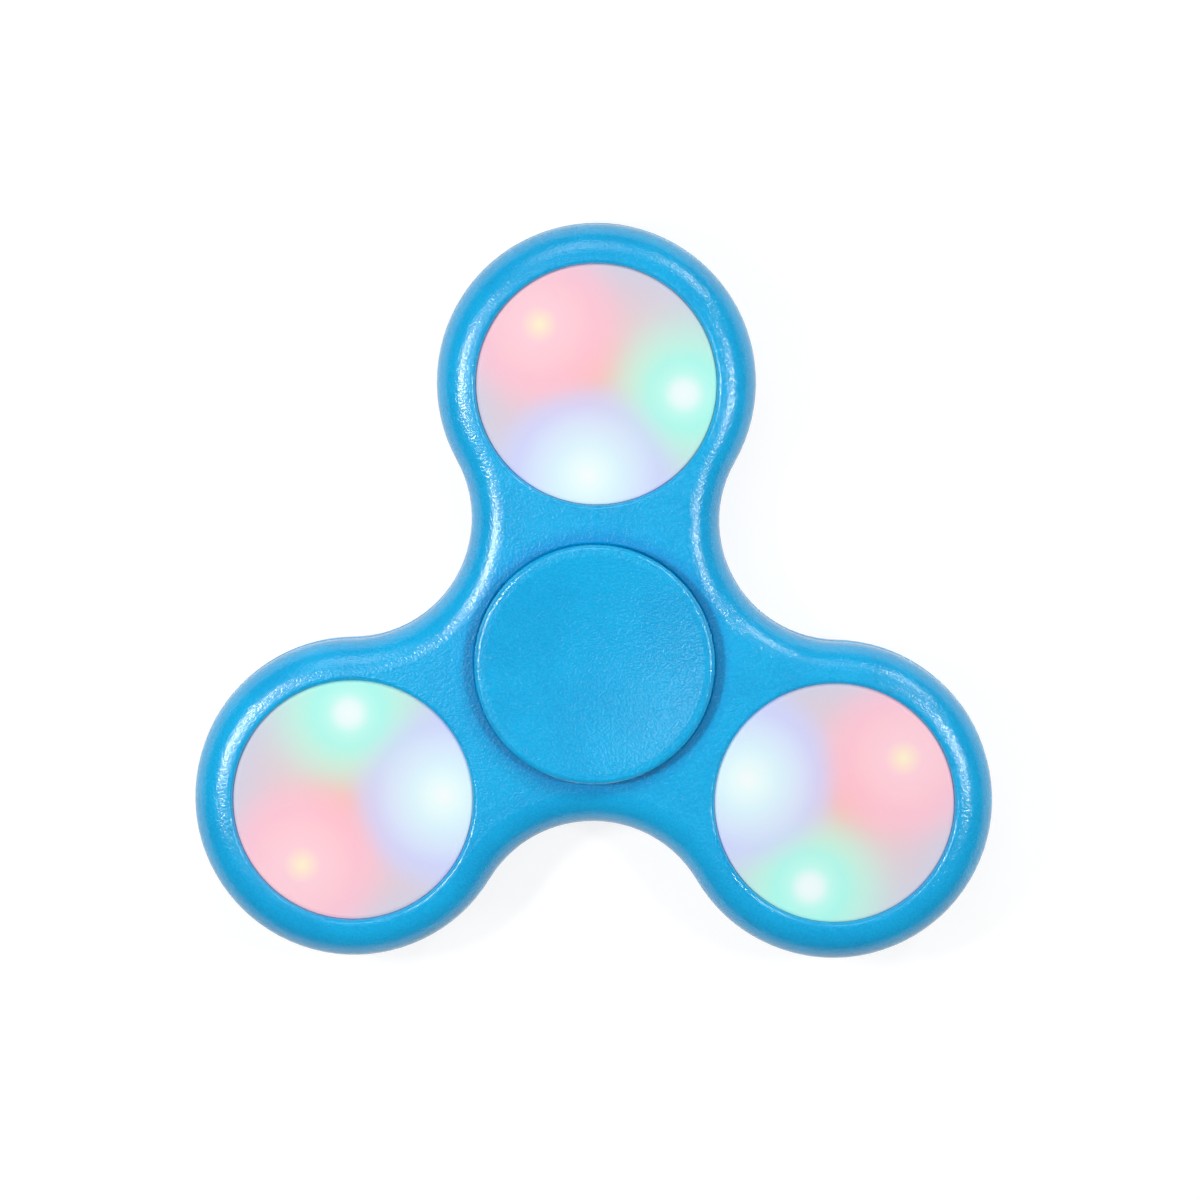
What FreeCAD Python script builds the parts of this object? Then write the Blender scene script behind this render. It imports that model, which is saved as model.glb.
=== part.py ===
import FreeCAD, Part
import math
import os
import Sketcher

from FreeCAD import Placement, Rotation, Vector

# A light-up tri-lobe fidget spinner, 75 mm across.
#
# The spin axis is Z and the origin is the centre of the bearing. The front, with the push lenses, faces
# +Z, and the first arm points along +Y. The fingers hold the two caps, which clamp the inner race, and
# everything else turns round them. Each lobe holds one light module: a housing with a push lens in front,
# a circuit board with a tactile switch and three LEDs under it, and three button cells behind, under a
# screwed cover.

doc = FreeCAD.newDocument("fidget_spinner")

# ------------------------------------------------------------------------------------------------
# Driving dimensions, in millimetres and degrees
# ------------------------------------------------------------------------------------------------

SIZES = {
    # moulded body
    "arm_reach": 26.0,
    "lobe_radius": 14.9,
    "waist_radius": 15.1,
    "edge_round": 3.1,
    "hole_edge_round": 0.4,
    "face_land": 0.1,
    # ball bearing in the hub
    "bearing_outside": 22.0,
    "bearing_bore": 8.0,
    "bearing_width": 7.0,
    "race_chamfer": 0.3,
    "ball_diameter": 3.969,
    "ball_circle": 15.0,
    "ball_count": 7,
    "ball_slack": 0.015,
    "groove_radius": 2.07,
    "groove_depth": 0.6,
    "cage_wall": 1.7,
    "cage_floor": 0.55,
    "cage_horn": 0.95,
    "cage_horn_wall": 0.7,
    "cage_dip": 0.5,
    "cage_slack": 0.07,
    "shield_thickness": 0.3,
    "shield_inset": 0.2,
    "shield_bite": 0.4,
    "shield_step": 0.25,
    "shield_flange": 0.9,
    "press_gap": 0.02,
    "seat_lip": 0.8,
    # finger caps
    "cap_diameter": 22.4,
    "cap_thickness": 1.45,
    "cap_gap": 0.35,
    "cap_rim": 1.0,
    "cap_dish": 0.6,
    "cap_edge_round": 0.5,
    "cap_boss": 11.0,
    "stem_gap": 0.1,
    "pin_diameter": 4.0,
    "pin_end_gap": 0.6,
    # light module: housing, lens and cover
    "module_hole": 22.5,
    "ledge_inset": 0.55,
    "ledge_thickness": 0.8,
    "module_recess": 0.3,
    "rim_wall": 0.5,
    "slide_gap": 0.08,
    "lens_thickness": 1.0,
    "lens_edge_round": 0.3,
    "skirt_wall": 0.6,
    "skirt_depth": 1.3,
    "lug_reach": 0.3,
    "lug_width": 2.4,
    "lug_height": 0.5,
    "press_travel": 0.25,
    "post_diameter": 1.6,
    "post_height": 0.6,
    "cover_thickness": 0.9,
    "cover_recess": 0.2,
    # light module: cells, contacts and cover screws
    "cell_diameter": 7.9,
    "cell_height": 3.6,
    "cell_cap_diameter": 5.8,
    "cell_cap_height": 0.35,
    "cell_bevel": 0.25,
    "cell_circle": 5.6,
    "cell_slack": 0.1,
    "contact_thickness": 0.15,
    "contact_pad": 5.0,
    "contact_strip": 1.8,
    "contact_leg": 0.5,
    "screw_circle": 8.5,
    "screw_thread": 1.4,
    "screw_length": 3.4,
    "screw_head": 2.4,
    "screw_head_height": 0.6,
    # light module: board, switch and lights
    "board_thickness": 0.8,
    "board_notch": 0.7,
    "switch_side": 4.0,
    "switch_height": 0.9,
    "switch_roof": 0.25,
    "switch_floor": 0.1,
    "plunger_stem": 1.8,
    "plunger_flange": 2.6,
    "plunger_flange_height": 0.18,
    "plunger_stand": 0.4,
    "dome_diameter": 2.8,
    "dome_sheet": 0.08,
    "red_circle": 7.7,
    "green_circle": 8.2,
    "blue_circle": 8.5,
    "led_length": 3.2,
    "led_width": 1.6,
    "led_base": 0.4,
    "led_dome": 0.75,
    "led_dome_length": 2.0,
    "led_dome_round": 0.35,
    "chip_circle": 6.2,
    "chip_diameter": 4.4,
    "chip_height": 0.8,
    "resistor_length": 1.6,
    "resistor_width": 0.8,
    "resistor_height": 0.45,
    "resistor_offset": 2.4,
    # how each light module is clocked in its lobe, counted from the X axis to its red light
    "turn_first": 133.8,
    "turn_second": 232.3,
    "turn_third": 33.8,
    # where the lights sit round each board, counted from the red one
    "blue_angle": 131.1,
    "green_angle": 220.5,
    "chip_angle": 66.0,
}

sheet = doc.addObject("Spreadsheet::Sheet", "Sizes")
for row, (alias, number) in enumerate(SIZES.items(), start=1):
    sheet.set(f"A{row}", alias.replace("_", " "))
    sheet.set(f"B{row}", str(number))
    sheet.setAlias(f"B{row}", alias)
doc.recompute()


def value(expression):
    """The number that an expression on the sheet gives."""
    return float(sheet.evalExpression(expression))


# Heights and radii that several pieces share, as expressions on the sheet. Z is 0 at the bearing's
# middle. The body is as thick as what a light module stacks up to, from its cover at the back to its lens
# in front.

STACK = (
    "cover_recess", "cover_thickness", "contact_thickness", "cell_height", "contact_thickness",
    "board_thickness", "switch_height", "plunger_stand", "post_height", "lens_thickness", "module_recess",
)
FACE = f"(({' + '.join(f'Sizes.{layer}' for layer in STACK)}) / 2)"
RACE_FACE = "(Sizes.bearing_width / 2)"
CAP_UNDER = f"({FACE} + Sizes.cap_gap)"
CAP_TOP = f"({CAP_UNDER} + Sizes.cap_thickness)"

LENS_TOP = f"({FACE} - Sizes.module_recess)"
LENS_UNDER = f"({LENS_TOP} - Sizes.lens_thickness)"
RIM_TOP = f"({LENS_UNDER} - Sizes.press_travel - Sizes.slide_gap)"
SKIRT_END = f"({LENS_UNDER} - Sizes.skirt_depth)"
LUG_TOP = f"({SKIRT_END} + Sizes.lug_height)"
LEDGE_TOP = f"(Sizes.ledge_thickness - {FACE})"
COVER_OUT = f"(Sizes.cover_recess - {FACE})"
COVER_IN = f"({COVER_OUT} + Sizes.cover_thickness)"
CELL_LOW = f"({COVER_IN} + Sizes.contact_thickness)"
CELL_HIGH = f"({CELL_LOW} + Sizes.cell_height)"
BOARD_LOW = f"({CELL_HIGH} + Sizes.contact_thickness)"
BOARD_TOP = f"({BOARD_LOW} + Sizes.board_thickness)"
SWITCH_TOP = f"({BOARD_TOP} + Sizes.switch_height)"
PLUNGER_TOP = f"({SWITCH_TOP} + Sizes.plunger_stand)"
FLANGE_TOP = f"({SWITCH_TOP} - Sizes.switch_roof - Sizes.press_gap)"
FLANGE_LOW = f"({FLANGE_TOP} - Sizes.plunger_flange_height)"
DOME_LOW = f"({BOARD_TOP} + Sizes.switch_floor)"

HOLE_RADIUS = "(Sizes.module_hole / 2)"
LEDGE_RADIUS = f"({HOLE_RADIUS} - Sizes.ledge_inset)"
HOUSING_OUT = f"({HOLE_RADIUS} - Sizes.press_gap)"
HOUSING_IN = f"({HOUSING_OUT} - Sizes.rim_wall)"
LENS_RADIUS = f"({HOLE_RADIUS} - Sizes.slide_gap)"
SKIRT_RADIUS = f"({HOUSING_IN} - Sizes.slide_gap)"
COVER_RADIUS = f"(min({LEDGE_RADIUS}; {HOUSING_IN}) - Sizes.slide_gap)"
CELL_POCKET = "(Sizes.cell_diameter / 2 + Sizes.cell_slack)"
SEAT_RADIUS = "(Sizes.bearing_outside / 2 + Sizes.press_gap)"

# the outer edges are rounded as far as leaves a flat land beside the rounded mouth of each hole
HUB_WALL = f"(Sizes.waist_radius - {SEAT_RADIUS})"
LOBE_WALL = f"(Sizes.lobe_radius - {HOLE_RADIUS})"
EDGE_ROUND = (
    f"(min(Sizes.edge_round; min({HUB_WALL}; {LOBE_WALL}) - Sizes.hole_edge_round - Sizes.face_land))"
)

# ------------------------------------------------------------------------------------------------
# Sketches
# ------------------------------------------------------------------------------------------------

# a sketch numbers an edge and its points in this order, and numbers its own origin as edge -1
POINT_ORDER = ("edge", "start", "end", "centre")
START, END, CENTRE = (POINT_ORDER.index(kind) for kind in ("start", "end", "centre"))
ROOT_POINT = (-1, START)
TOUCH = 1e-4


def origin_part(body, role):
    """One of the body's own origin planes or axes."""
    return next(item for item in body.Origin.OriginFeatures if item.Role == role)


def sketch_on(body, name, plane="XY_Plane", lift=None, turn=0):
    """A new sketch on one of the body's planes, lifted by an expression and turned by an angle."""
    sketch = body.newObject("Sketcher::SketchObject", name)
    sketch.AttachmentSupport = [(origin_part(body, plane), "")]
    sketch.MapMode = "FlatFace"
    sketch.AttachmentOffset = Placement(Vector(), Rotation(Vector(0, 0, 1), turn))
    if lift:
        sketch.setExpression("AttachmentOffset.Base.z", lift)
    return sketch


def pin_point(sketch, edge, end, across, up):
    """Holds one point of an edge at a place that two expressions give."""
    for kind, expression in (("DistanceX", across), ("DistanceY", up)):
        number = value(expression)
        index = sketch.addConstraint(Sketcher.Constraint(kind, *ROOT_POINT, edge, end, number))
        sketch.setExpression(f"Constraints[{index}]", expression)


def arc_between(start, end, radius, side):
    """The short arc from start to end; side is 1 if it bulges to the left of the way there, and -1 if it
    bulges to the right."""
    chord = end - start
    middle = start + chord * 0.5
    rise = radius - math.sqrt(max(radius**2 - (chord.Length / 2) ** 2, 0))
    outward = Vector(-chord.y, chord.x, 0).normalize() * side
    return Part.Arc(start, middle + outward * rise, end)


def outline(sketch, corners, arcs=None):
    """A closed loop through corners, each a pair of expressions. arcs gives, for an edge's number, the arc's
    radius as an expression and the side that it bulges to."""
    arcs = arcs or {}
    points = [Vector(value(across), value(up), 0) for across, up in corners]
    count = len(points)
    starts = []
    for number, start in enumerate(points):
        end = points[(number + 1) % count]
        if number in arcs:
            radius, side = arcs[number]
            curve = arc_between(start, end, value(radius), side)
        else:
            curve = Part.LineSegment(start, end)
        edge = sketch.addGeometry(curve, False)
        forwards = sketch.getPoint(edge, START).distanceToPoint(start) < TOUCH
        starts.append((edge, START if forwards else END, END if forwards else START))
        if number in arcs:
            index = sketch.addConstraint(Sketcher.Constraint("Radius", edge, value(radius)))
            sketch.setExpression(f"Constraints[{index}]", radius)
    for number, (edge, first, last) in enumerate(starts):
        after, after_first, _ = starts[(number + 1) % count]
        sketch.addConstraint(Sketcher.Constraint("Coincident", edge, last, after, after_first))
        pin_point(sketch, edge, first, *corners[number])


def rectangle(sketch, left, right, low, high):
    """A rectangle whose four sides lie at the places that the expressions give."""
    outline(sketch, [(left, low), (right, low), (right, high), (left, high)])


def circle(sketch, radius, across="0", up="0"):
    """A circle with its radius and centre given by expressions."""
    centre = Vector(value(across), value(up), 0)
    edge = sketch.addGeometry(Part.Circle(centre, Vector(0, 0, 1), value(radius)), False)
    index = sketch.addConstraint(Sketcher.Constraint("Radius", edge, value(radius)))
    sketch.setExpression(f"Constraints[{index}]", radius)
    pin_point(sketch, edge, CENTRE, across, up)


# ------------------------------------------------------------------------------------------------
# Features
# ------------------------------------------------------------------------------------------------

nodes = []


def new_body(label, place=None):
    """A part design body that becomes one node."""
    body = doc.addObject("PartDesign::Body", label)
    body.Label = label
    body.AllowCompound = True
    body.Placement = place or Placement()
    nodes.append(body)
    return body


def finish_feature(body, feature):
    body.Tip = feature
    return feature


def revolve(body, name, corners, arcs=None):
    """Turns a profile in the XZ plane a whole turn about the Z axis."""
    sketch = sketch_on(body, f"{body.Label}_{name}_profile", "XZ_Plane")
    outline(sketch, corners, arcs)
    feature = body.newObject("PartDesign::Revolution", f"{body.Label}_{name}")
    feature.Profile = sketch
    feature.ReferenceAxis = (sketch, ["V_Axis"])
    feature.Angle = 360
    return finish_feature(body, feature)


def pad(body, name, draw, low, high, turn=0):
    """Adds what draw sketches, from one height up to another."""
    sketch = sketch_on(body, f"{body.Label}_{name}_outline", lift=low, turn=turn)
    draw(sketch)
    feature = body.newObject("PartDesign::Pad", f"{body.Label}_{name}")
    feature.Profile = sketch
    feature.setExpression("Length", f"{high} - {low}")
    return finish_feature(body, feature)


def pocket(body, name, draw, low, high, turn=0):
    """Cuts what draw sketches, from one height down to another."""
    sketch = sketch_on(body, f"{body.Label}_{name}_outline", lift=high, turn=turn)
    draw(sketch)
    feature = body.newObject("PartDesign::Pocket", f"{body.Label}_{name}")
    feature.Profile = sketch
    feature.setExpression("Length", f"{high} - {low}")
    return finish_feature(body, feature)


def polar(body, name, features, count="3"):
    """Repeats features evenly round the Z axis."""
    pattern = body.newObject("PartDesign::PolarPattern", f"{body.Label}_{name}")
    pattern.Originals = features
    pattern.Axis = (origin_part(body, "Z_Axis"), [""])
    pattern.Angle = 360
    pattern.setExpression("Occurrences", count)
    return finish_feature(body, pattern)


def round_edges(body, name, radius, test):
    """Fillets every edge of the body that passes a test."""
    doc.recompute()
    base = body.Tip
    picked = [f"Edge{n}" for n, edge in enumerate(base.Shape.Edges, start=1) if test(edge)]
    feature = body.newObject("PartDesign::Fillet", f"{body.Label}_{name}")
    feature.Base = (base, picked)
    feature.setExpression("Radius", radius)
    return finish_feature(body, feature)


def circle_of(edge):
    """The circle that an edge lies on, or nothing if it's another kind of edge."""
    if edge.Degenerated or not isinstance(edge.Curve, Part.Circle):
        return None
    return edge.Curve


def ring_edge(*rings):
    """A test for full or part circles about the Z axis, each ring a pair of radius and height
    expressions."""
    wanted = [(value(radius), value(height)) for radius, height in rings]

    def test(edge):
        curve = circle_of(edge)
        if curve is None or curve.Center.Length > abs(curve.Center.z) + TOUCH:
            return False
        return any(
            abs(curve.Radius - radius) < TOUCH and abs(curve.Center.z - height) < TOUCH
            for radius, height in wanted
        )

    return test


def group(label, source, places):
    """One node that holds a copy of source's solid at each place."""
    doc.recompute()
    solid = source.Shape.Solids[0]
    copies = []
    for place in places:
        copy = solid.copy()
        copy.Placement = place.multiply(copy.Placement)
        copies.append(copy)
    feature = doc.addObject("Part::Feature", label)
    feature.Label = label
    feature.Shape = Part.makeCompound(copies)
    nodes.append(feature)
    return feature


# ------------------------------------------------------------------------------------------------
# Moulded body
# ------------------------------------------------------------------------------------------------


def make_body_frame():
    """The tri-lobe body: one third is drawn and padded, then repeated, rounded and bored."""
    body = new_body("body_frame")
    # the valley between two lobes is an arc tangent to both, and its middle is waist_radius from the axis
    slack = "(Sizes.lobe_radius - Sizes.waist_radius)"
    reach = "Sizes.arm_reach"
    valley_out = f"(({reach}^2 - {slack}^2) / ({reach} + 2 * {slack}))"
    valley_radius = f"({valley_out} - Sizes.waist_radius)"
    share = f"(Sizes.lobe_radius / (Sizes.lobe_radius + {valley_radius}))"
    meet_across = f"({share} * {valley_out} * cos(30))"
    meet_up = f"({reach} + {share} * ({valley_out} * sin(30) - {reach}))"
    waist_across = "(Sizes.waist_radius * cos(30))"
    waist_up = "(Sizes.waist_radius * sin(30))"
    corners = [
        ("0", "0"),
        (waist_across, waist_up),
        (meet_across, meet_up),
        ("0", f"{reach} + Sizes.lobe_radius"),
        (f"-{meet_across}", meet_up),
        (f"-{waist_across}", waist_up),
    ]
    arcs = {
        1: (valley_radius, 1),
        2: ("Sizes.lobe_radius", -1),
        3: ("Sizes.lobe_radius", -1),
        4: (valley_radius, 1),
    }
    arm = pad(body, "arm", lambda s: outline(s, corners, arcs), f"-{FACE}", FACE)
    polar(body, "arms", [arm])

    def on_a_face(edge):
        heights = [vertex.Point.z for vertex in edge.Vertexes]
        return all(abs(abs(height) - value(FACE)) < TOUCH for height in heights)

    round_edges(body, "rounding", EDGE_ROUND, on_a_face)

    # hub: the bearing drops in from the front and stops on a lip at the back
    lip_radius = f"({SEAT_RADIUS} - Sizes.seat_lip)"
    pocket(body, "bearing_seat", lambda s: circle(s, SEAT_RADIUS), f"-{RACE_FACE}", FACE)
    pocket(body, "bearing_window", lambda s: circle(s, lip_radius), f"-{FACE}", FACE)

    # lobes: each module drops in from the front and stops on a ledge, and its cover is reached from the back
    seat = pocket(body, "module_seat", lambda s: circle(s, HOLE_RADIUS, "0", reach), LEDGE_TOP, FACE)
    window = pocket(
        body, "module_window", lambda s: circle(s, LEDGE_RADIUS, "0", reach), f"-{FACE}", FACE
    )
    polar(body, "module_seats", [seat, window])

    radii = [value(r) for r in (HOLE_RADIUS, LEDGE_RADIUS, SEAT_RADIUS, lip_radius)]

    def at_a_mouth(edge):
        curve = circle_of(edge)
        if curve is None:
            return False
        on_face = abs(abs(curve.Center.z) - value(FACE)) < TOUCH
        return on_face and any(abs(curve.Radius - radius) < TOUCH for radius in radii)

    round_edges(body, "mouths", "Sizes.hole_edge_round", at_a_mouth)


# ------------------------------------------------------------------------------------------------
# Ball bearing
# ------------------------------------------------------------------------------------------------

BALL_RADIUS = "(Sizes.ball_diameter / 2)"
BALL_OUT = "(Sizes.ball_circle / 2)"
RACE_OUT = "(Sizes.bearing_outside / 2)"
OUTER_GROOVE = f"({BALL_OUT} + {BALL_RADIUS} + Sizes.ball_slack)"
INNER_GROOVE = f"({BALL_OUT} - {BALL_RADIUS} - Sizes.ball_slack)"
OUTER_LAND = f"({OUTER_GROOVE} - Sizes.groove_depth)"
INNER_LAND = f"({INNER_GROOVE} + Sizes.groove_depth)"
GROOVE_HALF = "sqrt(Sizes.groove_radius^2 - (Sizes.groove_radius - Sizes.groove_depth)^2)"
SHIELD_OUT = f"({OUTER_LAND} + Sizes.shield_bite)"
SHIELD_FACE = f"({RACE_FACE} - Sizes.shield_inset)"
SHIELD_SEAT = f"({SHIELD_FACE} - Sizes.shield_thickness)"


def make_outer_race():
    """The outer ring, with a ball groove and a step at each face for a shield."""
    body = new_body("bearing_outer_race")
    chamfer = "Sizes.race_chamfer"
    corners = [
        (SHIELD_OUT, f"-{RACE_FACE}"),
        (f"{RACE_OUT} - {chamfer}", f"-{RACE_FACE}"),
        (RACE_OUT, f"{chamfer} - {RACE_FACE}"),
        (RACE_OUT, f"{RACE_FACE} - {chamfer}"),
        (f"{RACE_OUT} - {chamfer}", RACE_FACE),
        (SHIELD_OUT, RACE_FACE),
        (SHIELD_OUT, SHIELD_SEAT),
        (OUTER_LAND, SHIELD_SEAT),
        (OUTER_LAND, GROOVE_HALF),
        (OUTER_LAND, f"-{GROOVE_HALF}"),
        (OUTER_LAND, f"-{SHIELD_SEAT}"),
        (SHIELD_OUT, f"-{SHIELD_SEAT}"),
    ]
    revolve(body, "ring", corners, {8: ("Sizes.groove_radius", 1)})


def make_inner_race():
    """The inner ring, with a ball groove; the caps' stems fill its bore."""
    body = new_body("bearing_inner_race")
    bore = "(Sizes.bearing_bore / 2)"
    chamfer = "Sizes.race_chamfer"
    corners = [
        (f"{bore} + {chamfer}", f"-{RACE_FACE}"),
        (INNER_LAND, f"-{RACE_FACE}"),
        (INNER_LAND, f"-{GROOVE_HALF}"),
        (INNER_LAND, GROOVE_HALF),
        (INNER_LAND, RACE_FACE),
        (f"{bore} + {chamfer}", RACE_FACE),
        (bore, f"{RACE_FACE} - {chamfer}"),
        (bore, f"{chamfer} - {RACE_FACE}"),
    ]
    revolve(body, "ring", corners, {2: ("Sizes.groove_radius", 1)})


def make_balls():
    """The balls, each a node of its own, evenly spaced round the ball circle."""
    count = int(value("Sizes.ball_count"))
    for number in range(count):
        ball = doc.addObject("Part::Sphere", f"bearing_ball_{number + 1}")
        ball.Label = f"bearing_ball_{number + 1}"
        ball.setExpression("Radius", BALL_RADIUS)
        angle = 360 * number / count
        ball.Placement = polar_place(value(BALL_OUT), angle, turn=angle)
        nodes.append(ball)


def make_cage():
    """A snap-in crown cage: a ring whose open pockets close past each ball's middle, with a pair of horns
    round each ball and a dip between one pair and the next."""
    body = new_body("bearing_cage")
    pocket_radius = f"({BALL_RADIUS} + Sizes.cage_slack)"
    inside = f"({BALL_OUT} - Sizes.cage_wall / 2)"
    outside = f"({BALL_OUT} + Sizes.cage_wall / 2)"
    low = f"(-{pocket_radius} - Sizes.cage_floor)"
    high = "Sizes.cage_horn"
    revolve(body, "ring", [(inside, low), (outside, low), (outside, high), (inside, high)])
    hollow = body.newObject("PartDesign::SubtractiveSphere", "bearing_cage_pocket")
    hollow.setExpression("Radius", pocket_radius)
    hollow.setExpression("Placement.Base.x", BALL_OUT)
    finish_feature(body, hollow)
    half_pitch = "(180 / Sizes.ball_count)"
    dip_half = f"({BALL_OUT} * sin({half_pitch}) - {pocket_radius} - Sizes.cage_horn_wall)"
    dip = pocket(
        body,
        "dip",
        lambda s: rectangle(s, f"{inside} - 1", f"{outside} + 1", f"-{dip_half}", dip_half),
        "-Sizes.cage_dip",
        high,
        turn=value(half_pitch),
    )
    polar(body, "pockets", [hollow, dip], "Sizes.ball_count")


def make_shields():
    """The two pressed steel shields, seated in the outer race and clear of the inner one. Each steps down
    inside its flange."""
    inside = f"({INNER_LAND} + Sizes.shield_inset)"
    outside = f"({SHIELD_OUT} - Sizes.press_gap)"
    step = "Sizes.shield_step"
    bend_out = f"({outside} - Sizes.shield_flange)"
    bend_in = f"({bend_out} - {step})"
    corners = [
        (inside, f"{SHIELD_SEAT} - {step}"),
        (bend_in, f"{SHIELD_SEAT} - {step}"),
        (bend_out, SHIELD_SEAT),
        (outside, SHIELD_SEAT),
        (outside, SHIELD_FACE),
        (bend_out, SHIELD_FACE),
        (bend_in, f"{SHIELD_FACE} - {step}"),
        (inside, f"{SHIELD_FACE} - {step}"),
    ]
    for label, place in (("bearing_shield_front", Placement()), ("bearing_shield_back", FLIPPED)):
        revolve(new_body(label, place), "plate", corners)


# ------------------------------------------------------------------------------------------------
# Finger caps
# ------------------------------------------------------------------------------------------------

FLIPPED = Placement(Vector(), Rotation(Vector(1, 0, 0), 180))


def make_caps():
    """The two dished finger caps. Their stems fill the inner race, and a pin on the front one plugs into
    the back one, which is drawn facing up and then turned over."""
    stem = "(Sizes.bearing_bore / 2 - Sizes.press_gap)"
    boss = "(Sizes.cap_boss / 2)"
    rim = "(Sizes.cap_diameter / 2)"
    dish = f"({rim} - Sizes.cap_rim)"
    stem_end = "(Sizes.stem_gap / 2)"
    pin = "(Sizes.pin_diameter / 2)"
    socket = f"({pin} + Sizes.press_gap)"
    pin_end = f"({RACE_FACE} - Sizes.pin_end_gap)"
    socket_floor = f"({pin_end} + Sizes.stem_gap)"
    outside = [
        (stem, stem_end),
        (stem, RACE_FACE),
        (boss, RACE_FACE),
        (boss, CAP_UNDER),
        (rim, CAP_UNDER),
        (rim, CAP_TOP),
        (dish, CAP_TOP),
        ("0", f"{CAP_TOP} - Sizes.cap_dish"),
    ]
    dish_radius = f"(({dish}^2 + Sizes.cap_dish^2) / (2 * Sizes.cap_dish))"
    pinned = [("0", f"-{pin_end}"), (pin, f"-{pin_end}"), (pin, stem_end)]
    socketed = [("0", socket_floor), (socket, socket_floor), (socket, stem_end)]
    for label, inside, place in (
        ("front_cap", pinned, Placement()),
        ("back_cap", socketed, FLIPPED),
    ):
        body = new_body(label, place)
        corners = inside + outside
        revolve(body, "disc", corners, {len(corners) - 2: (dish_radius, 1)})
        round_edges(body, "edge", "Sizes.cap_edge_round", ring_edge((rim, CAP_TOP), (rim, CAP_UNDER)))


# ------------------------------------------------------------------------------------------------
# Light modules
# ------------------------------------------------------------------------------------------------


def polar_place(radius, angle, height=0.0, turn=0.0):
    """A placement at a radius and angle about the Z axis, turned about Z."""
    radians = math.radians(angle)
    base = Vector(radius * math.cos(radians), radius * math.sin(radians), height)
    return Placement(base, Rotation(Vector(0, 0, 1), turn))


MODULES = [
    (1, 90.0, "Sizes.turn_first"),
    (2, 210.0, "Sizes.turn_second"),
    (3, 330.0, "Sizes.turn_third"),
]
CELL_ANGLES = (0, 120, 240)
SCREW_ANGLES = (60, 180, 300)
LUG_ANGLE = 30


def make_housing(label, place):
    """The module's round housing: a thin wall round the lens's skirt, with its rim under the lens's edge,
    and a thick floor with pockets for the cells."""
    body = new_body(label, place)
    corners = [
        ("0", COVER_IN),
        (HOUSING_IN, COVER_IN),
        (HOUSING_IN, LEDGE_TOP),
        (HOUSING_OUT, LEDGE_TOP),
        (HOUSING_OUT, RIM_TOP),
        (HOUSING_IN, RIM_TOP),
        (HOUSING_IN, BOARD_LOW),
        ("0", BOARD_LOW),
    ]
    revolve(body, "shell", corners)
    cell = pocket(
        body, "cell_pocket", lambda s: circle(s, CELL_POCKET, "Sizes.cell_circle"), COVER_IN, BOARD_LOW
    )
    polar(body, "cell_pockets", [cell])
    hole_top = f"({COVER_OUT} + Sizes.screw_length + Sizes.contact_thickness)"
    hole = pocket(
        body,
        "screw_hole",
        lambda s: circle(s, "Sizes.screw_thread / 2 + Sizes.press_gap", "Sizes.screw_circle"),
        COVER_IN,
        hole_top,
        turn=SCREW_ANGLES[0],
    )
    polar(body, "screw_holes", [hole])
    # windows for the lens's lugs, as tall as a lug and its travel
    half = "(Sizes.lug_width / 2 + Sizes.slide_gap)"
    low = f"({SKIRT_END} - Sizes.press_travel - Sizes.slide_gap)"
    high = f"({LUG_TOP} + Sizes.slide_gap)"
    lug = pocket(
        body,
        "lug_window",
        lambda s: rectangle(s, f"{HOUSING_IN} - 1", f"{HOUSING_OUT} + 1", f"-{half}", half),
        low,
        high,
        turn=LUG_ANGLE,
    )
    polar(body, "lug_windows", [lug])
    # shallow channels for the contact strips, and a slot through the middle for the return leg
    side = "(Sizes.contact_strip / 2 + Sizes.slide_gap)"
    across = "Sizes.cell_circle * cos(60)"
    along = "Sizes.cell_circle * sin(60)"
    pocket(
        body,
        "front_channel",
        lambda s: rectangle(s, f"{across} - {side}", f"{across} + {side}", f"-({along})", along),
        CELL_HIGH,
        BOARD_LOW,
        turn=180,
    )
    pocket(
        body,
        "back_channel",
        lambda s: rectangle(s, f"{across} - {side}", f"{across} + {side}", f"-({along})", along),
        COVER_IN,
        CELL_LOW,
        turn=60,
    )
    leg = "(Sizes.contact_leg / 2 + Sizes.slide_gap)"
    pocket(
        body,
        "return_channel",
        lambda s: rectangle(s, f"-{leg}", "Sizes.cell_circle", f"-{side}", side),
        COVER_IN,
        CELL_LOW,
        turn=CELL_ANGLES[2],
    )
    pocket(
        body,
        "leg_slot",
        lambda s: rectangle(s, f"-{leg}", leg, f"-{side}", side),
        COVER_IN,
        BOARD_LOW,
        turn=CELL_ANGLES[2],
    )


def make_lens(label, place):
    """The frosted push lens: a disc that fills the lobe's hole, over a skirt with three snap lugs and a
    post that presses the switch."""
    body = new_body(label, place)
    skirt_in = f"({SKIRT_RADIUS} - Sizes.skirt_wall)"
    post = "(Sizes.post_diameter / 2)"
    corners = [
        ("0", PLUNGER_TOP),
        (post, PLUNGER_TOP),
        (post, LENS_UNDER),
        (skirt_in, LENS_UNDER),
        (skirt_in, SKIRT_END),
        (SKIRT_RADIUS, SKIRT_END),
        (SKIRT_RADIUS, LENS_UNDER),
        (LENS_RADIUS, LENS_UNDER),
        (LENS_RADIUS, LENS_TOP),
        ("0", LENS_TOP),
    ]
    revolve(body, "disc", corners)
    round_edges(body, "edge", "Sizes.lens_edge_round", ring_edge((LENS_RADIUS, LENS_TOP)))
    half = "(Sizes.lug_width / 2)"
    tip = f"({SKIRT_RADIUS} + Sizes.lug_reach)"
    lug = pad(
        body,
        "lug",
        lambda s: rectangle(s, f"{skirt_in} + Sizes.skirt_wall / 2", tip, f"-{half}", half),
        SKIRT_END,
        LUG_TOP,
        turn=LUG_ANGLE,
    )
    polar(body, "lugs", [lug])


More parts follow.
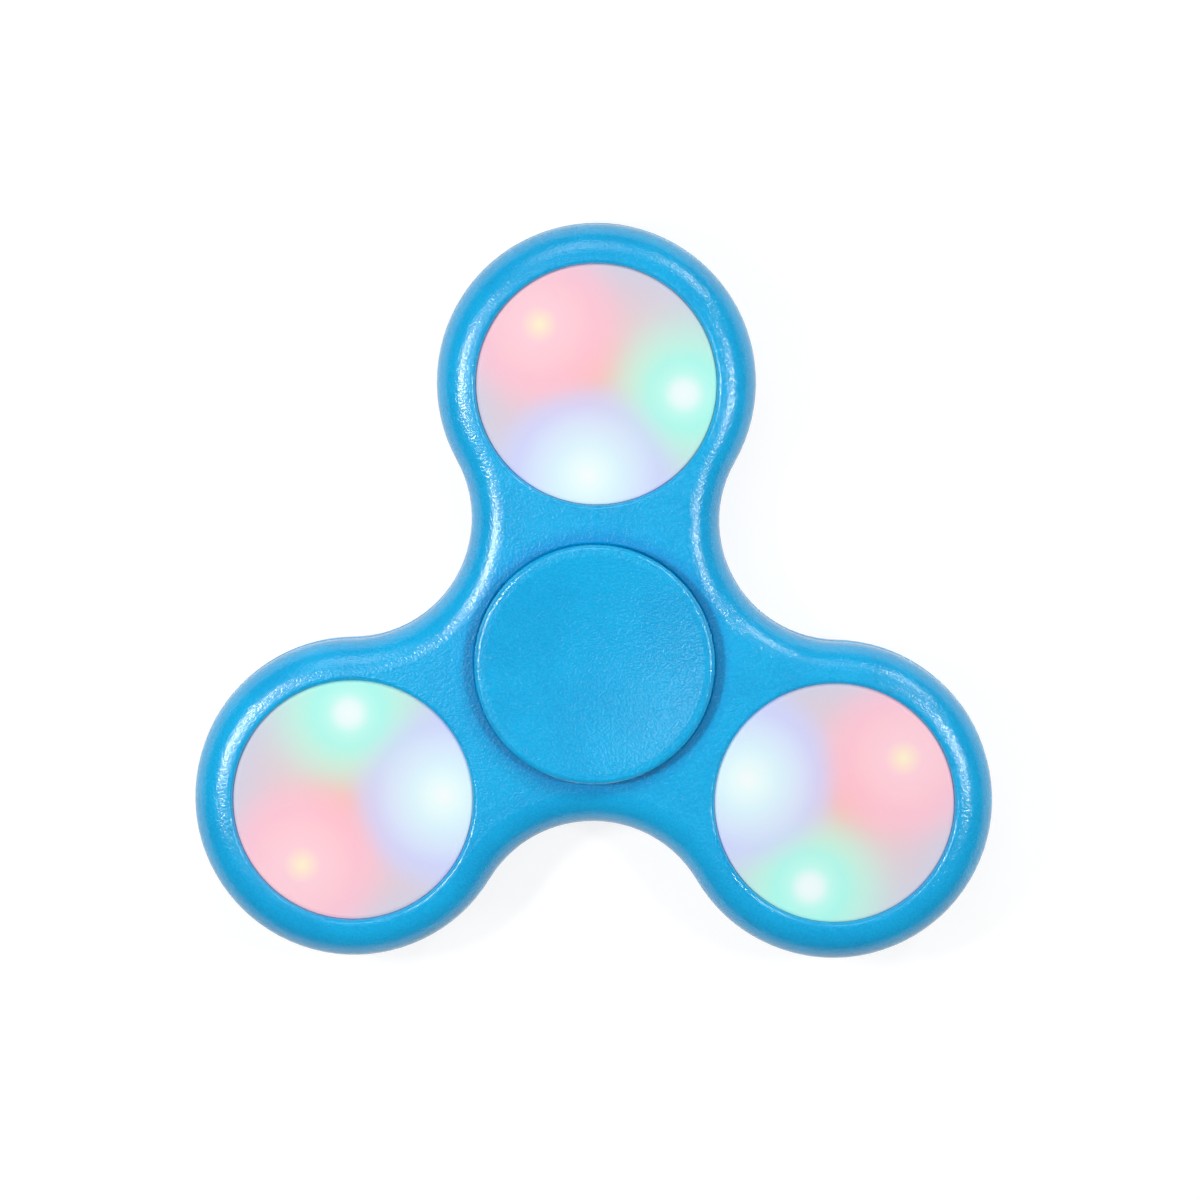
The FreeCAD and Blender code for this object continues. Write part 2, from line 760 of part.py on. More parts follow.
def make_board(label, place):
    """The round circuit board, with three half-round notches in its edge."""
    body = new_body(label, place)
    radius = f"({HOUSING_IN} - Sizes.slide_gap)"
    pad(body, "disc", lambda s: circle(s, radius), BOARD_LOW, BOARD_TOP)
    notch = pocket(
        body,
        "notch",
        lambda s: circle(s, "Sizes.board_notch", radius),
        BOARD_LOW,
        BOARD_TOP,
        turn=LUG_ANGLE,
    )
    polar(body, "notches", [notch])


def make_light(label, place):
    """One surface-mount LED: a flat base with a clear moulded block on it."""
    body = new_body(label, place)
    base_top = f"({BOARD_TOP} + Sizes.led_base)"
    top = f"({base_top} + Sizes.led_dome)"
    long_half = "(Sizes.led_length / 2)"
    half = "(Sizes.led_width / 2)"
    dome_half = "(Sizes.led_dome_length / 2)"
    # the base's long side lies along the board's edge
    pad(
        body,
        "base",
        lambda s: rectangle(s, f"-{half}", half, f"-{long_half}", long_half),
        BOARD_TOP,
        base_top,
    )
    pad(
        body,
        "dome",
        lambda s: rectangle(s, f"-{half}", half, f"-{dome_half}", dome_half),
        base_top,
        top,
    )

    def on_top(edge):
        return all(abs(vertex.Point.z - value(top)) < TOUCH for vertex in edge.Vertexes)

    round_edges(body, "dome_edge", "Sizes.led_dome_round", on_top)


def make_chip(label, place):
    """The controller, bonded to the board under a round blob of resin."""
    body = new_body(label, place)
    half = "(Sizes.chip_diameter / 2)"
    radius = f"(({half}^2 + Sizes.chip_height^2) / (2 * Sizes.chip_height))"
    corners = [("0", BOARD_TOP), (half, BOARD_TOP), ("0", f"{BOARD_TOP} + Sizes.chip_height")]
    revolve(body, "blob", corners, {1: (radius, -1)})


def make_switch(base_label, dome_label, plunger_label, place):
    """A tactile switch in three pieces: a square base, a snap dome inside it and a stepped plunger."""
    base = new_body(base_label, place)
    half = "(Sizes.switch_side / 2)"
    pad(base, "block", lambda s: rectangle(s, f"-{half}", half, f"-{half}", half), BOARD_TOP, SWITCH_TOP)
    chamber = "(Sizes.plunger_flange / 2 + 2 * Sizes.slide_gap)"
    roof = f"({SWITCH_TOP} - Sizes.switch_roof)"
    cavity = [("0", DOME_LOW), (chamber, DOME_LOW), (chamber, roof), ("0", roof)]
    sketch = sketch_on(base, f"{base_label}_chamber_profile", "XZ_Plane")
    outline(sketch, cavity)
    groove = base.newObject("PartDesign::Groove", f"{base_label}_chamber")
    groove.Profile = sketch
    groove.ReferenceAxis = (sketch, ["V_Axis"])
    groove.Angle = 360
    finish_feature(base, groove)
    stem = "(Sizes.plunger_stem / 2)"
    pocket(base, "eye", lambda s: circle(s, f"{stem} + Sizes.slide_gap"), roof, SWITCH_TOP)

    plunger = new_body(plunger_label, place)
    flange = "(Sizes.plunger_flange / 2)"
    corners = [
        ("0", FLANGE_LOW),
        (flange, FLANGE_LOW),
        (flange, FLANGE_TOP),
        (stem, FLANGE_TOP),
        (stem, PLUNGER_TOP),
        ("0", PLUNGER_TOP),
    ]
    revolve(plunger, "pin", corners)

    dome = new_body(dome_label, place)
    sheet_high = "Sizes.dome_sheet"
    rim = "(Sizes.dome_diameter / 2)"
    rise = f"({FLANGE_LOW} - Sizes.press_gap - {DOME_LOW})"
    under = f"({rise} - {sheet_high})"
    upper_radius = f"(({rim}^2 + {rise}^2) / (2 * {rise}))"
    lower_rim = f"({rim} - 2 * {sheet_high})"
    lower_radius = f"(({lower_rim}^2 + {under}^2) / (2 * {under}))"
    corners = [
        (lower_rim, DOME_LOW),
        (rim, DOME_LOW),
        ("0", f"{DOME_LOW} + {rise}"),
        ("0", f"{DOME_LOW} + {under}"),
    ]
    revolve(dome, "sheet", corners, {1: (upper_radius, -1), 3: (lower_radius, 1)})


def make_cells(label, place):
    """Three button cells in series, so the middle one lies the other way up."""
    source = doc.addObject("PartDesign::Body", f"{label}_cell")
    can = "(Sizes.cell_diameter / 2)"
    cap = "(Sizes.cell_cap_diameter / 2)"
    shoulder = "(Sizes.cell_height / 2 - Sizes.cell_cap_height)"
    half = "(Sizes.cell_height / 2)"
    bevel = "Sizes.cell_bevel"
    corners = [
        ("0", f"-{half}"),
        (f"{can} - {bevel}", f"-{half}"),
        (can, f"{bevel} - {half}"),
        (can, f"{shoulder} - {bevel}"),
        (f"{can} - {bevel}", shoulder),
        (cap, shoulder),
        (cap, half),
        ("0", half),
    ]
    revolve(source, "can", corners)
    middle = value(f"({CELL_LOW} + {CELL_HIGH}) / 2")
    radius = value("Sizes.cell_circle")
    places = []
    for number, angle in enumerate(CELL_ANGLES):
        spot = polar_place(radius, angle, middle)
        if number != 1:
            spot = spot.multiply(FLIPPED)
        places.append(place.multiply(spot))
    group(label, source, places)


def contact_pad(sketch, angle):
    """A round contact pad at the cell that lies at an angle."""
    circle(
        sketch,
        "Sizes.contact_pad / 2",
        f"Sizes.cell_circle * cos({angle})",
        f"Sizes.cell_circle * sin({angle})",
    )


def make_contacts(front_label, back_label, place):
    """Sheet metal contacts: under the board one pad and one bridge, under the cover one bridge and one
    return strip with a leg up to the board."""
    half = "(Sizes.contact_strip / 2)"
    across = "Sizes.cell_circle * cos(60)"
    along = "Sizes.cell_circle * sin(60)"

    def strip(sketch):
        rectangle(sketch, f"{across} - {half}", f"{across} + {half}", f"-({along})", along)

    front = new_body(front_label, place)
    for angle in CELL_ANGLES:
        pad(front, f"pad_{angle}", lambda s: contact_pad(s, angle), CELL_HIGH, BOARD_LOW)
    pad(front, "bridge", strip, CELL_HIGH, BOARD_LOW, turn=180)

    back = new_body(back_label, place)
    for angle in CELL_ANGLES:
        pad(back, f"pad_{angle}", lambda s: contact_pad(s, angle), COVER_IN, CELL_LOW)
    pad(back, "bridge", strip, COVER_IN, CELL_LOW, turn=60)
    leg = "(Sizes.contact_leg / 2)"
    pad(
        back,
        "return_strip",
        lambda s: rectangle(s, f"-{leg}", "Sizes.cell_circle", f"-{half}", half),
        COVER_IN,
        CELL_LOW,
        turn=CELL_ANGLES[2],
    )
    pad(
        back,
        "return_leg",
        lambda s: rectangle(s, f"-{leg}", leg, f"-{half}", half),
        COVER_IN,
        BOARD_LOW,
        turn=CELL_ANGLES[2],
    )


def make_cover(label, place):
    """The round battery cover, with three counterbored screw holes."""
    body = new_body(label, place)
    pad(body, "disc", lambda s: circle(s, COVER_RADIUS), COVER_OUT, COVER_IN)
    seat_top = f"({COVER_OUT} + Sizes.screw_head_height)"
    bore = pocket(
        body,
        "head_seat",
        lambda s: circle(s, "Sizes.screw_head / 2 + Sizes.slide_gap", "Sizes.screw_circle"),
        COVER_OUT,
        seat_top,
        turn=SCREW_ANGLES[0],
    )
    hole = pocket(
        body,
        "screw_hole",
        lambda s: circle(s, "Sizes.screw_thread / 2 + Sizes.slide_gap", "Sizes.screw_circle"),
        COVER_OUT,
        COVER_IN,
        turn=SCREW_ANGLES[0],
    )
    polar(body, "screw_holes", [bore, hole])
    round_edges(body, "edge", "Sizes.hole_edge_round", ring_edge((COVER_RADIUS, COVER_OUT)))


def make_screws(seats):
    """All the cover screws, which share one node."""
    source = doc.addObject("PartDesign::Body", "cover_screw")
    head = "(Sizes.screw_head / 2)"
    shank = "(Sizes.screw_thread / 2)"
    head_top = f"({COVER_OUT} + Sizes.screw_head_height)"
    tip = f"({COVER_OUT} + Sizes.screw_length)"
    corners = [
        ("0", COVER_OUT),
        (head, COVER_OUT),
        (head, head_top),
        (shank, head_top),
        (shank, f"{tip} - {shank}"),
        ("0", tip),
    ]
    revolve(source, "screw", corners)
    radius = value("Sizes.screw_circle")
    places = [seat.multiply(polar_place(radius, angle)) for seat in seats for angle in SCREW_ANGLES]
    group("cover_screws", source, places)


def make_resistors(seats):
    """One resistor beside each LED, all in one node."""
    source = doc.addObject("PartDesign::Body", "board_resistor")
    half = "(Sizes.resistor_width / 2)"
    long_half = "(Sizes.resistor_length / 2)"
    pad(
        source,
        "block",
        lambda s: rectangle(s, f"-{half}", half, f"-{long_half}", long_half),
        BOARD_TOP,
        f"({BOARD_TOP} + Sizes.resistor_height)",
    )
    inward = value("Sizes.resistor_offset")
    places = []
    for seat in seats:
        for radius, angle in light_spots().values():
            places.append(seat.multiply(polar_place(radius - inward, angle, turn=angle)))
    group("board_resistors", source, places)


def light_spots():
    """The radius and angle of each light on its board."""
    return {
        "red": (value("Sizes.red_circle"), 0.0),
        "blue": (value("Sizes.blue_circle"), value("Sizes.blue_angle")),
        "green": (value("Sizes.green_circle"), value("Sizes.green_angle")),
    }


def make_module(number, seat):
    """Every piece of one light module, all placed by the same seat."""
    make_housing(f"light_housing_{number}", seat)
    make_lens(f"push_lens_{number}", seat)
    make_board(f"circuit_board_{number}", seat)
    for colour, (radius, angle) in light_spots().items():
        spot = polar_place(radius, angle, turn=angle)
        make_light(f"{colour}_led_{number}", seat.multiply(spot))
    spot = polar_place(value("Sizes.chip_circle"), value("Sizes.chip_angle"))
    make_chip(f"control_chip_{number}", seat.multiply(spot))
    make_switch(f"switch_base_{number}", f"switch_dome_{number}", f"switch_plunger_{number}", seat)
    make_cells(f"button_cells_{number}", seat)
    make_contacts(f"front_contacts_{number}", f"back_contacts_{number}", seat)
    make_cover(f"battery_cover_{number}", seat)


# ------------------------------------------------------------------------------------------------
# Build, check and write
# ------------------------------------------------------------------------------------------------


def check(thing):
    """Stops the build if an object failed or its shape isn't sound."""
    if {"Invalid", "Error"} & set(thing.State):
        raise RuntimeError(f"{thing.Label} failed to compute: {thing.State}")
    if thing in nodes and (thing.Shape.isNull() or not thing.Shape.isValid() or not thing.Shape.Solids):
        raise RuntimeError(f"{thing.Label} has no valid solid")


def main():
    make_body_frame()
    make_outer_race()
    make_inner_race()
    make_balls()
    make_cage()
    make_shields()
    make_caps()
    seats = []
    for number, arm_angle, turn in MODULES:
        seat = polar_place(value("Sizes.arm_reach"), arm_angle, turn=value(turn))
        make_module(number, seat)
        seats.append(seat)
    make_screws(seats)
    make_resistors(seats)
    doc.recompute()
    for thing in doc.Objects:
        check(thing)
    os.makedirs("parts", exist_ok=True)
    for node in nodes:
        node.Shape.exportStep(f"parts/{node.Label}.step")
        print(f"{node.Label}: {node.Shape.Volume:.2f} mm3, {len(node.Shape.Solids)} solid(s)")


main()
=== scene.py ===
# %% [markdown]
# # A light-up finger spinner, dressed for its picture
#
# The solids of this spinner are already built and placed: a three-armed body round a ball bearing, two finger
# caps, and a light module in each arm. This lesson gives them their finishes, adds the small hardware that
# was left for Blender, and sets up the camera and the lamps. Every length is in metres, in the solids' own
# frame: the spin axis is Z, the lenses face +Z, and the first arm points along +Y.

# %% Load the solids
import math
import bmesh
import bpy
from mathutils import Matrix, Vector


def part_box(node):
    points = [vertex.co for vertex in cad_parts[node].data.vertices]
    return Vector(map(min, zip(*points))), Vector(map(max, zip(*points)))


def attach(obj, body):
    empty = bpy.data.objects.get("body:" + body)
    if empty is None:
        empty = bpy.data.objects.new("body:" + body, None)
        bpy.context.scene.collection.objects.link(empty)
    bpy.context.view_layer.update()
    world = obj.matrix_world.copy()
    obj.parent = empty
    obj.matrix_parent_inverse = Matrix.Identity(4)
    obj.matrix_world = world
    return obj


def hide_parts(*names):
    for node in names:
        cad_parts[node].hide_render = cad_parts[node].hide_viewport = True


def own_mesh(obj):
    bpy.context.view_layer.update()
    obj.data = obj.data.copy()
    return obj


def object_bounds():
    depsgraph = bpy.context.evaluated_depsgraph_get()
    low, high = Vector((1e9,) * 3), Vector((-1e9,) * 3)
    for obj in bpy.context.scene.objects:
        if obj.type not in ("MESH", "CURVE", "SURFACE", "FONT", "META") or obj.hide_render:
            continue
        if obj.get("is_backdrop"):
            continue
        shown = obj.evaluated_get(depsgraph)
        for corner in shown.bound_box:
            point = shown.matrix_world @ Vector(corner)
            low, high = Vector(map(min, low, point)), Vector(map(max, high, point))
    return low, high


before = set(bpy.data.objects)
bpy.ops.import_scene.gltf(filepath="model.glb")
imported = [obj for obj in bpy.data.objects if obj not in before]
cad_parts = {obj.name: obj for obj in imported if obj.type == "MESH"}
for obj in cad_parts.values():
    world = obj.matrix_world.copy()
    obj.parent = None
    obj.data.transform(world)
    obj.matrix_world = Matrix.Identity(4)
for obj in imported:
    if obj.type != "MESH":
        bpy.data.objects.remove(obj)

for spare in ("Cube", "Light", "Camera"):
    if spare in bpy.data.objects:
        bpy.data.objects.remove(bpy.data.objects[spare])
solids_low, solids_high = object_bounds()
MM = 0.001
print(len(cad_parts), "solids, box", [round(side / MM, 1) for side in solids_high - solids_low], "mm")

# %% [markdown]
# ## Where the light modules are
#
# The three arms are alike, but each module was pressed in at its own angle, as happens at the assembly bench.
# Finishes and hardware that belong to a module need its centre and its turn. Both can be read from the
# solids: the centre is the middle of the housing's box, and the turn is the direction from there to the red
# LED.


# %% Measure the modules
def middle(node):
    """The middle of a solid's box."""
    low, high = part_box(node)
    return (low + high) / 2


class Module:
    """Where one light module sits, and how far it is turned."""

    def __init__(self, number):
        self.number = number
        self.centre = middle(f"light_housing_{number}")
        to_red = middle(f"red_led_{number}") - self.centre
        self.turn = math.atan2(to_red.y, to_red.x)

    def spot(self, radius, angle, height):
        """A point of the module, given in its own polar coordinates."""
        way = self.turn + angle
        east, north = radius * math.cos(way), radius * math.sin(way)
        return Vector((self.centre.x + east, self.centre.y + north, height))

    def place_of(self, node):
        """A solid's middle in the module's own frame, in millimetres."""
        return (middle(node) - self.centre) @ Matrix.Rotation(self.turn, 3, "Z") / MM


MODULES = [Module(number) for number in (1, 2, 3)]
for module in MODULES:
    centre = [round(x / MM, 1) for x in module.centre]
    print("module", module.number, "at", centre, "turned", round(math.degrees(module.turn), 1))

# %% [markdown]
# ## Shader sums as plain Python
#
# A procedural finish is mostly arithmetic: this noise times a small number, plus that mask, and so on.
# Blender has a Math node for each step, and wiring them by hand hides the idea. So a Wire stands for a socket
# and knows the operators: an expression such as `1 - mask * 0.5` adds the nodes itself. A Finish is one
# material. Its `node` method adds any other node, and the methods after it name the few that come back again
# and again. All finishes read Object coordinates. Every solid's object sits at the origin, so these are
# simply millimetres in the spinner's frame once they are divided by 0.001.


# %% The wire
class Wire:
    """A socket that takes part in sums."""

    def __init__(self, finish, socket):
        self.finish = finish
        self.socket = socket

    def maths(self, operation, *values):
        return self.finish.node("ShaderNodeMath", {"operation": operation}, dict(enumerate(values)))

    def __add__(self, other):
        return self.maths("ADD", self, other)

    def __sub__(self, other):
        return self.maths("SUBTRACT", self, other)

    def __rsub__(self, other):
        return self.maths("SUBTRACT", other, self)

    def __mul__(self, other):
        return self.maths("MULTIPLY", self, other)

    def __truediv__(self, other):
        return self.maths("DIVIDE", self, other)

    def __pow__(self, other):
        return self.maths("POWER", self, other)

    def __lt__(self, other):
        return self.maths("LESS_THAN", self, other)

    def exponential(self):
        return self.maths("EXPONENT", self)

    __radd__ = __add__


# %% The finish
class Finish:
    """One material, built from nodes."""

    def __init__(self, name):
        self.material = bpy.data.materials.new(name)
        self.material.use_nodes = True
        self.tree = self.material.node_tree
        self.shader = self.tree.nodes["Principled BSDF"]

    def node(self, kind, settings=None, inputs=None, output=0):
        """Adds a node: its settings first, then the values or wires of its sockets."""
        made = self.tree.nodes.new(kind)
        for name, value in (settings or {}).items():
            if name == "stops":
                self.set_stops(made.color_ramp, value)
            else:
                setattr(made, name, value)
        for name, value in (inputs or {}).items():
            self.feed(made.inputs[name], value)
        return Wire(self, made.outputs[output])

    def feed(self, socket, value):
        if isinstance(value, Wire):
            self.tree.links.new(value.socket, socket)
        else:
            socket.default_value = value

    def set_stops(self, ramp, stops):
        while len(ramp.elements) < len(stops):
            ramp.elements.new(1)
        for element, (position, colour) in zip(ramp.elements, stops):
            element.position = position
            element.color = (*colour, 1)

    def place(self, centre=(0, 0, 0), turn=0):
        """Object coordinates in millimetres, from a centre in metres and turned about Z."""
        where = self.node("ShaderNodeTexCoord", output="Object")
        return self.node(
            "ShaderNodeMapping",
            {"vector_type": "TEXTURE"},
            {"Vector": where, "Location": centre, "Rotation": (0, 0, turn), "Scale": (MM, MM, MM)},
        )

    def parts(self, vector):
        """The three numbers of a vector, as wires."""
        split = self.node("ShaderNodeSeparateXYZ", inputs={0: vector}).socket.node
        return [Wire(self, socket) for socket in split.outputs]

    def noise(self, vector, size, detail=2.0, roughness=0.5):
        """Soft noise whose blobs are about as large as size, in millimetres."""
        inputs = {"Vector": vector, "Scale": 1 / size, "Detail": detail, "Roughness": roughness}
        return self.node("ShaderNodeTexNoise", inputs=inputs)

    def ease(self, value, low, high):
        """0 below low, 1 above high, and a smooth rise between them."""
        inputs = {"Value": value, "From Min": low, "From Max": high}
        return self.node("ShaderNodeMapRange", {"interpolation_type": "SMOOTHSTEP"}, inputs)

    def ramp(self, value, stops):
        return self.node("ShaderNodeValToRGB", {"stops": stops}, {0: value})

    def mix(self, share, first, second):
        """A colour between two: first where share is 0, second where it is 1."""
        inputs = {0: share, 6: self.colour(first), 7: self.colour(second)}
        return self.node("ShaderNodeMix", {"data_type": "RGBA"}, inputs, output=2)

    def colour(self, value):
        return value if isinstance(value, Wire) else (*value, 1)

    def bump(self, height, depth):
        """A normal from a height that runs from 0 to 1, where 1 is depth millimetres."""
        return self.node("ShaderNodeBump", inputs={"Height": height, "Distance": depth * MM})

    def surface(self, sockets):
        for name, value in sockets.items():
            self.feed(self.shader.inputs[name], self.colour(value) if name.endswith("Color") else value)
        print("finish", self.material.name, "with", len(self.tree.nodes), "nodes")
        return self


FINISHES = {}

# %% [markdown]
# ## Satin blue paint
#
# The body and both caps are moulded in ABS and sprayed a bright sky blue that dries satin. Sprayed paint is
# never quite smooth: it dries with an orange peel of about a millimetre, and in it sits a grain of a fifth of
# a millimetre that makes long highlights sparkle at their edges. The colour drifts a little where the paint
# is thicker, and a few dust nibs are caught in it. Just outside the cap's edge the blue is darkened into a
# ring of painted shade, which stands in for the shadow of the raised cap on the body. A flat colour with low
# roughness would look like glass, so the grain goes into the colour, the roughness and the bump together.
# There is no clear coat on top, because the highlight of a coat would pass over the grain and stay smooth.

# %% Paint
PAINT = (0.000, 0.362, 0.735)
PAINT_THIN = (0.001, 0.475, 0.880)
# A darker blue for the dust nibs, and for the ring of painted shade round the hub.
PAINT_NIB_AND_SHADE = (0.000, 0.205, 0.580)
CLOUD_SIZE, PEEL_SIZE, GRAIN_SIZE = 7, 0.9, 0.22
NIB_SPACING, NIB_SIZE, NIB_SHARE = 3.2, 0.09, 0.05
CAP_EDGE = 11.22
# Painted shade round the hub: the radius where it starts, the radius where it is full, and its strength.
HUB_SHADE_FADE = (13.2, 11.4)
HUB_SHADE_SHARE = 0.5
PAINT_RELIEF = 0.045


def dust_nibs(finish, place, spacing, size, share):
    """Small round specks: one in a share of the cells of a loose grid."""
    cell = {"Vector": place, "Scale": 1 / spacing}
    distance = finish.node("ShaderNodeTexVoronoi", inputs=cell, output="Distance")
    colour = finish.node("ShaderNodeTexVoronoi", inputs=cell, output="Color")
    chance = finish.node("ShaderNodeSeparateColor", inputs={0: colour})
    return (distance < size / spacing) * (chance < share)


def satin_paint():
    paint = Finish("satin_blue_paint")
    place = paint.place()
    cloud = paint.noise(place, CLOUD_SIZE, 3)
    peel = paint.noise(place, PEEL_SIZE)
    grain = paint.noise(place, GRAIN_SIZE)
    nib = dust_nibs(paint, place, NIB_SPACING, NIB_SIZE, NIB_SHARE)
    shade = paint.ease(cloud, 0.35, 0.65) * 0.35 + paint.ease(grain, 0.25, 0.75) * 0.65
    x, y, _ = paint.parts(place)
    radius = (x * x + y * y) ** 0.5
    # Painted shade: a darker ring just outside the cap, in place of the shadow that the raised cap casts.
    painted_hub_shade = paint.ease(radius, *HUB_SHADE_FADE) * (1 - (radius < CAP_EDGE)) * HUB_SHADE_SHARE
    colour = paint.mix(painted_hub_shade, paint.mix(shade, PAINT, PAINT_THIN), PAINT_NIB_AND_SHADE)
    height = peel * 0.25 + grain
    return paint.surface({
        "Base Color": paint.mix(nib, colour, PAINT_NIB_AND_SHADE),
        "Roughness": 0.155 + grain * 0.075,
        "Specular IOR Level": 0.78,
        "Normal": paint.bump(height, PAINT_RELIEF),
    })


FINISHES["satin_blue"] = satin_paint()

# %% [markdown]
# ## The lit lens
#
# The push lens is a milky polycarbonate disc with a red, a green and a blue LED close behind it, a few
# millimetres in from its rim. Each LED makes a soft patch of light on the disc: nearly white over the LED
# itself, then a plain tint, then a short edge where it gives way to its neighbour. Real scattering could be
# traced through the plastic, but that needs very many samples, and the exported model would lose it. So the
# patches are painted light: they are worked out as colours, from how far a point is from each LED, and the
# places of the LEDs come from the solids.
#
# Each patch has a pull that falls with distance, and the colours share the lens in proportion to their pulls.
# The last share is the milky tone that shows where no patch reaches, warm in the middle and grey at the rim.

# %% Glow patches
GLOW_REACH = 10.0
GLOWS = {
    "red": {
        "spread": 5.42, "edge": 3.3,
        "stops": [(0.00, (1.00, 0.90, 0.59)), (0.08, (1.00, 0.77, 0.64)), (0.18, (1.00, 0.62, 0.70)),
                  (0.36, (1.00, 0.59, 0.66)), (0.52, (1.00, 0.54, 0.65))],
    },
    "green": {
        "spread": 3.94, "edge": 1.9,
        "stops": [(0.00, (0.89, 1.00, 1.00)), (0.10, (0.80, 1.00, 0.98)), (0.20, (0.47, 1.00, 0.88)),
                  (0.32, (0.35, 1.00, 0.85)), (0.48, (0.43, 0.99, 0.79))],
    },
    "blue": {
        "spread": 6.74, "edge": 4.6,
        "stops": [(0.00, (0.93, 1.00, 1.00)), (0.15, (0.79, 1.00, 1.00)), (0.30, (0.69, 0.92, 1.00)),
                  (0.50, (0.66, 0.79, 1.00)), (0.66, (0.60, 0.67, 1.00))],
    },
}
MILKY = [(0.0, (1.00, 0.45, 0.37)), (0.5, (0.83, 0.57, 0.61)), (1.0, (0.64, 0.63, 0.75))]
MILKY_PULL = 0.12


def distance(finish, place, point):
    """How far each point of a surface is from a given one, seen from the front."""
    flat = finish.node("ShaderNodeVectorMath", {"operation": "MULTIPLY"}, {0: place, 1: (1, 1, 0)})
    ends = {0: flat, 1: (point[0], point[1], 0)}
    return finish.node("ShaderNodeVectorMath", {"operation": "DISTANCE"}, ends, output="Value")


def lens_glow(finish, module):
    """The colour of the lit lens."""
    place = finish.place(module.centre, module.turn)
    low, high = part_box(f"light_housing_{module.number}")
    rim = (high.x - low.x) / 2 / MM
    colour = finish.ramp(distance(finish, place, (0, 0)) / rim, MILKY)
    pull_so_far = MILKY_PULL
    for name, glow in GLOWS.items():
        away = distance(finish, place, module.place_of(f"{name}_led_{module.number}"))
        pull = ((away / glow["spread"]) ** glow["edge"] * -1).exponential()
        pull_so_far = pull + pull_so_far
        colour = finish.mix(pull / pull_so_far, colour, finish.ramp(away / GLOW_REACH, glow["stops"]))
    return colour


# %% [markdown]
# The lens gives out part of this colour as light and shows the rest as painted light in its base colour under
# the lamps; the milky tone is in both shares too. That way the disc still takes shade from the rim above it,
# and it stays lit in a dark room.

# %% Frosted lens
GLOW_SHARE = 0.545
FROST_SIZE, FROST_RELIEF = 0.11, 0.004


def frosted_lens(module):
    lens = Finish(f"frosted_lens_{module.number}")
    glow = lens_glow(lens, module)
    place = lens.place()
    frost = lens.noise(place, FROST_SIZE)
    lens.surface({
        # Painted light: the LED patches go into the base colour as well as into the emission.
        "Base Color": lens.mix(1 - GLOW_SHARE, (0, 0, 0), glow),
        "Emission Color": glow,
        "Emission Strength": GLOW_SHARE,
        "Roughness": 0.50 + frost * 0.12,
        "Specular IOR Level": 0.25,
        "Normal": lens.bump(frost, FROST_RELIEF),
    })
    return lens


FINISHES["frosted_lens"] = {f"push_lens_{module.number}": frosted_lens(module) for module in MODULES}

# %% [markdown]
# ## White and grey plastics
#
# The housings and battery covers are moulded in a warm white ABS with a fine spark-eroded texture, which
# hides scratches. The same maker's recipe, a body colour, a mottle and a grain, also gives the cage's nylon,
# the switch's base and the black parts, so it is written once and given different numbers.


# %% Moulded plastics
def moulded(name, colour, shade, roughness, grain_size, grain_depth):
    """A moulded plastic: two tones that drift into each other, under a spark-eroded grain."""
    plastic = Finish(name)
    place = plastic.place()
    drift = plastic.noise(place, 4.5, 3)
    grain = plastic.noise(place, grain_size, 3, 0.6)
    scuff = plastic.ease(plastic.noise(place, 1.3, 5, 0.7), 0.60, 0.72)
    return plastic.surface({
        "Base Color": plastic.mix(plastic.ease(drift, 0.3, 0.7), colour, shade),
        "Roughness": roughness + grain * 0.12 - scuff * 0.08,
        "Normal": plastic.bump(grain + scuff * 0.2, grain_depth),
    })


# Each slot's name, colour, shade, roughness, grain size and grain depth.
PLASTICS = {
    "white_plastic": ("warm_white_abs", (0.74, 0.72, 0.69), (0.70, 0.68, 0.65), 0.42, 0.22, 0.010),
    "cage_nylon": ("ivory_nylon", (0.66, 0.56, 0.38), (0.60, 0.50, 0.33), 0.40, 0.30, 0.008),
    "switch_housing": ("grey_nylon", (0.30, 0.31, 0.32), (0.26, 0.27, 0.28), 0.45, 0.18, 0.006),
    "component_black": ("black_resin", (0.020, 0.020, 0.022), (0.032, 0.031, 0.030), 0.38, 0.15, 0.005),
}
for slot, recipe in PLASTICS.items():
    FINISHES[slot] = moulded(*recipe)

# %% [markdown]
# ## Metals
#
# Metals differ mostly in how they were worked, and the tool leaves its trace in the roughness and the bump:
# turned and ground rings carry fine hoops round their axis, stamped sheet carries straight rolling lines, and
# plated screws are dull and cloudy. So there is one recipe that takes the trace as a pattern.


# %% Worked metals
def hoops(finish, place, pitch):
    """Fine hoops round the spin axis, as a grinding wheel leaves on a ring."""
    x, y, z = finish.parts(place)
    radius = (x * x + y * y) ** 0.5
    along = finish.node("ShaderNodeCombineXYZ", inputs={0: radius / pitch, 1: z / pitch, 2: x * 0.05})
    return finish.node("ShaderNodeTexNoise", inputs={"Vector": along, "Scale": 1.0, "Detail": 3.0})


def rolling_lines(finish, place, pitch):
    """Straight lines, as a rolling mill leaves along a sheet."""
    x, y, z = finish.parts(place)
    along = finish.node("ShaderNodeCombineXYZ", inputs={0: x / pitch, 1: y * 0.08, 2: z / pitch})
    return finish.node("ShaderNodeTexNoise", inputs={"Vector": along, "Scale": 1.0, "Detail": 4.0})


def cloudy(finish, place, pitch):
    """The soft clouds of a plated or tumbled surface."""
    return finish.noise(place, pitch, 5, 0.65)


def metal(name, colour, tarnish, roughness, trace, pitch, depth):
    """A bare metal whose shine varies with the trace of the tool that made it."""
    made = Finish(name)
    place = made.place()
    worked = trace(made, place, pitch)
    stain = made.ease(made.noise(place, 3.0, 4, 0.6), 0.50, 0.75)
    return made.surface({
        "Base Color": made.mix(stain, colour, tarnish),
        "Metallic": 1.0,
        "Roughness": roughness + worked * 0.14 + stain * 0.08,
        "Normal": made.bump(worked, depth),
    })


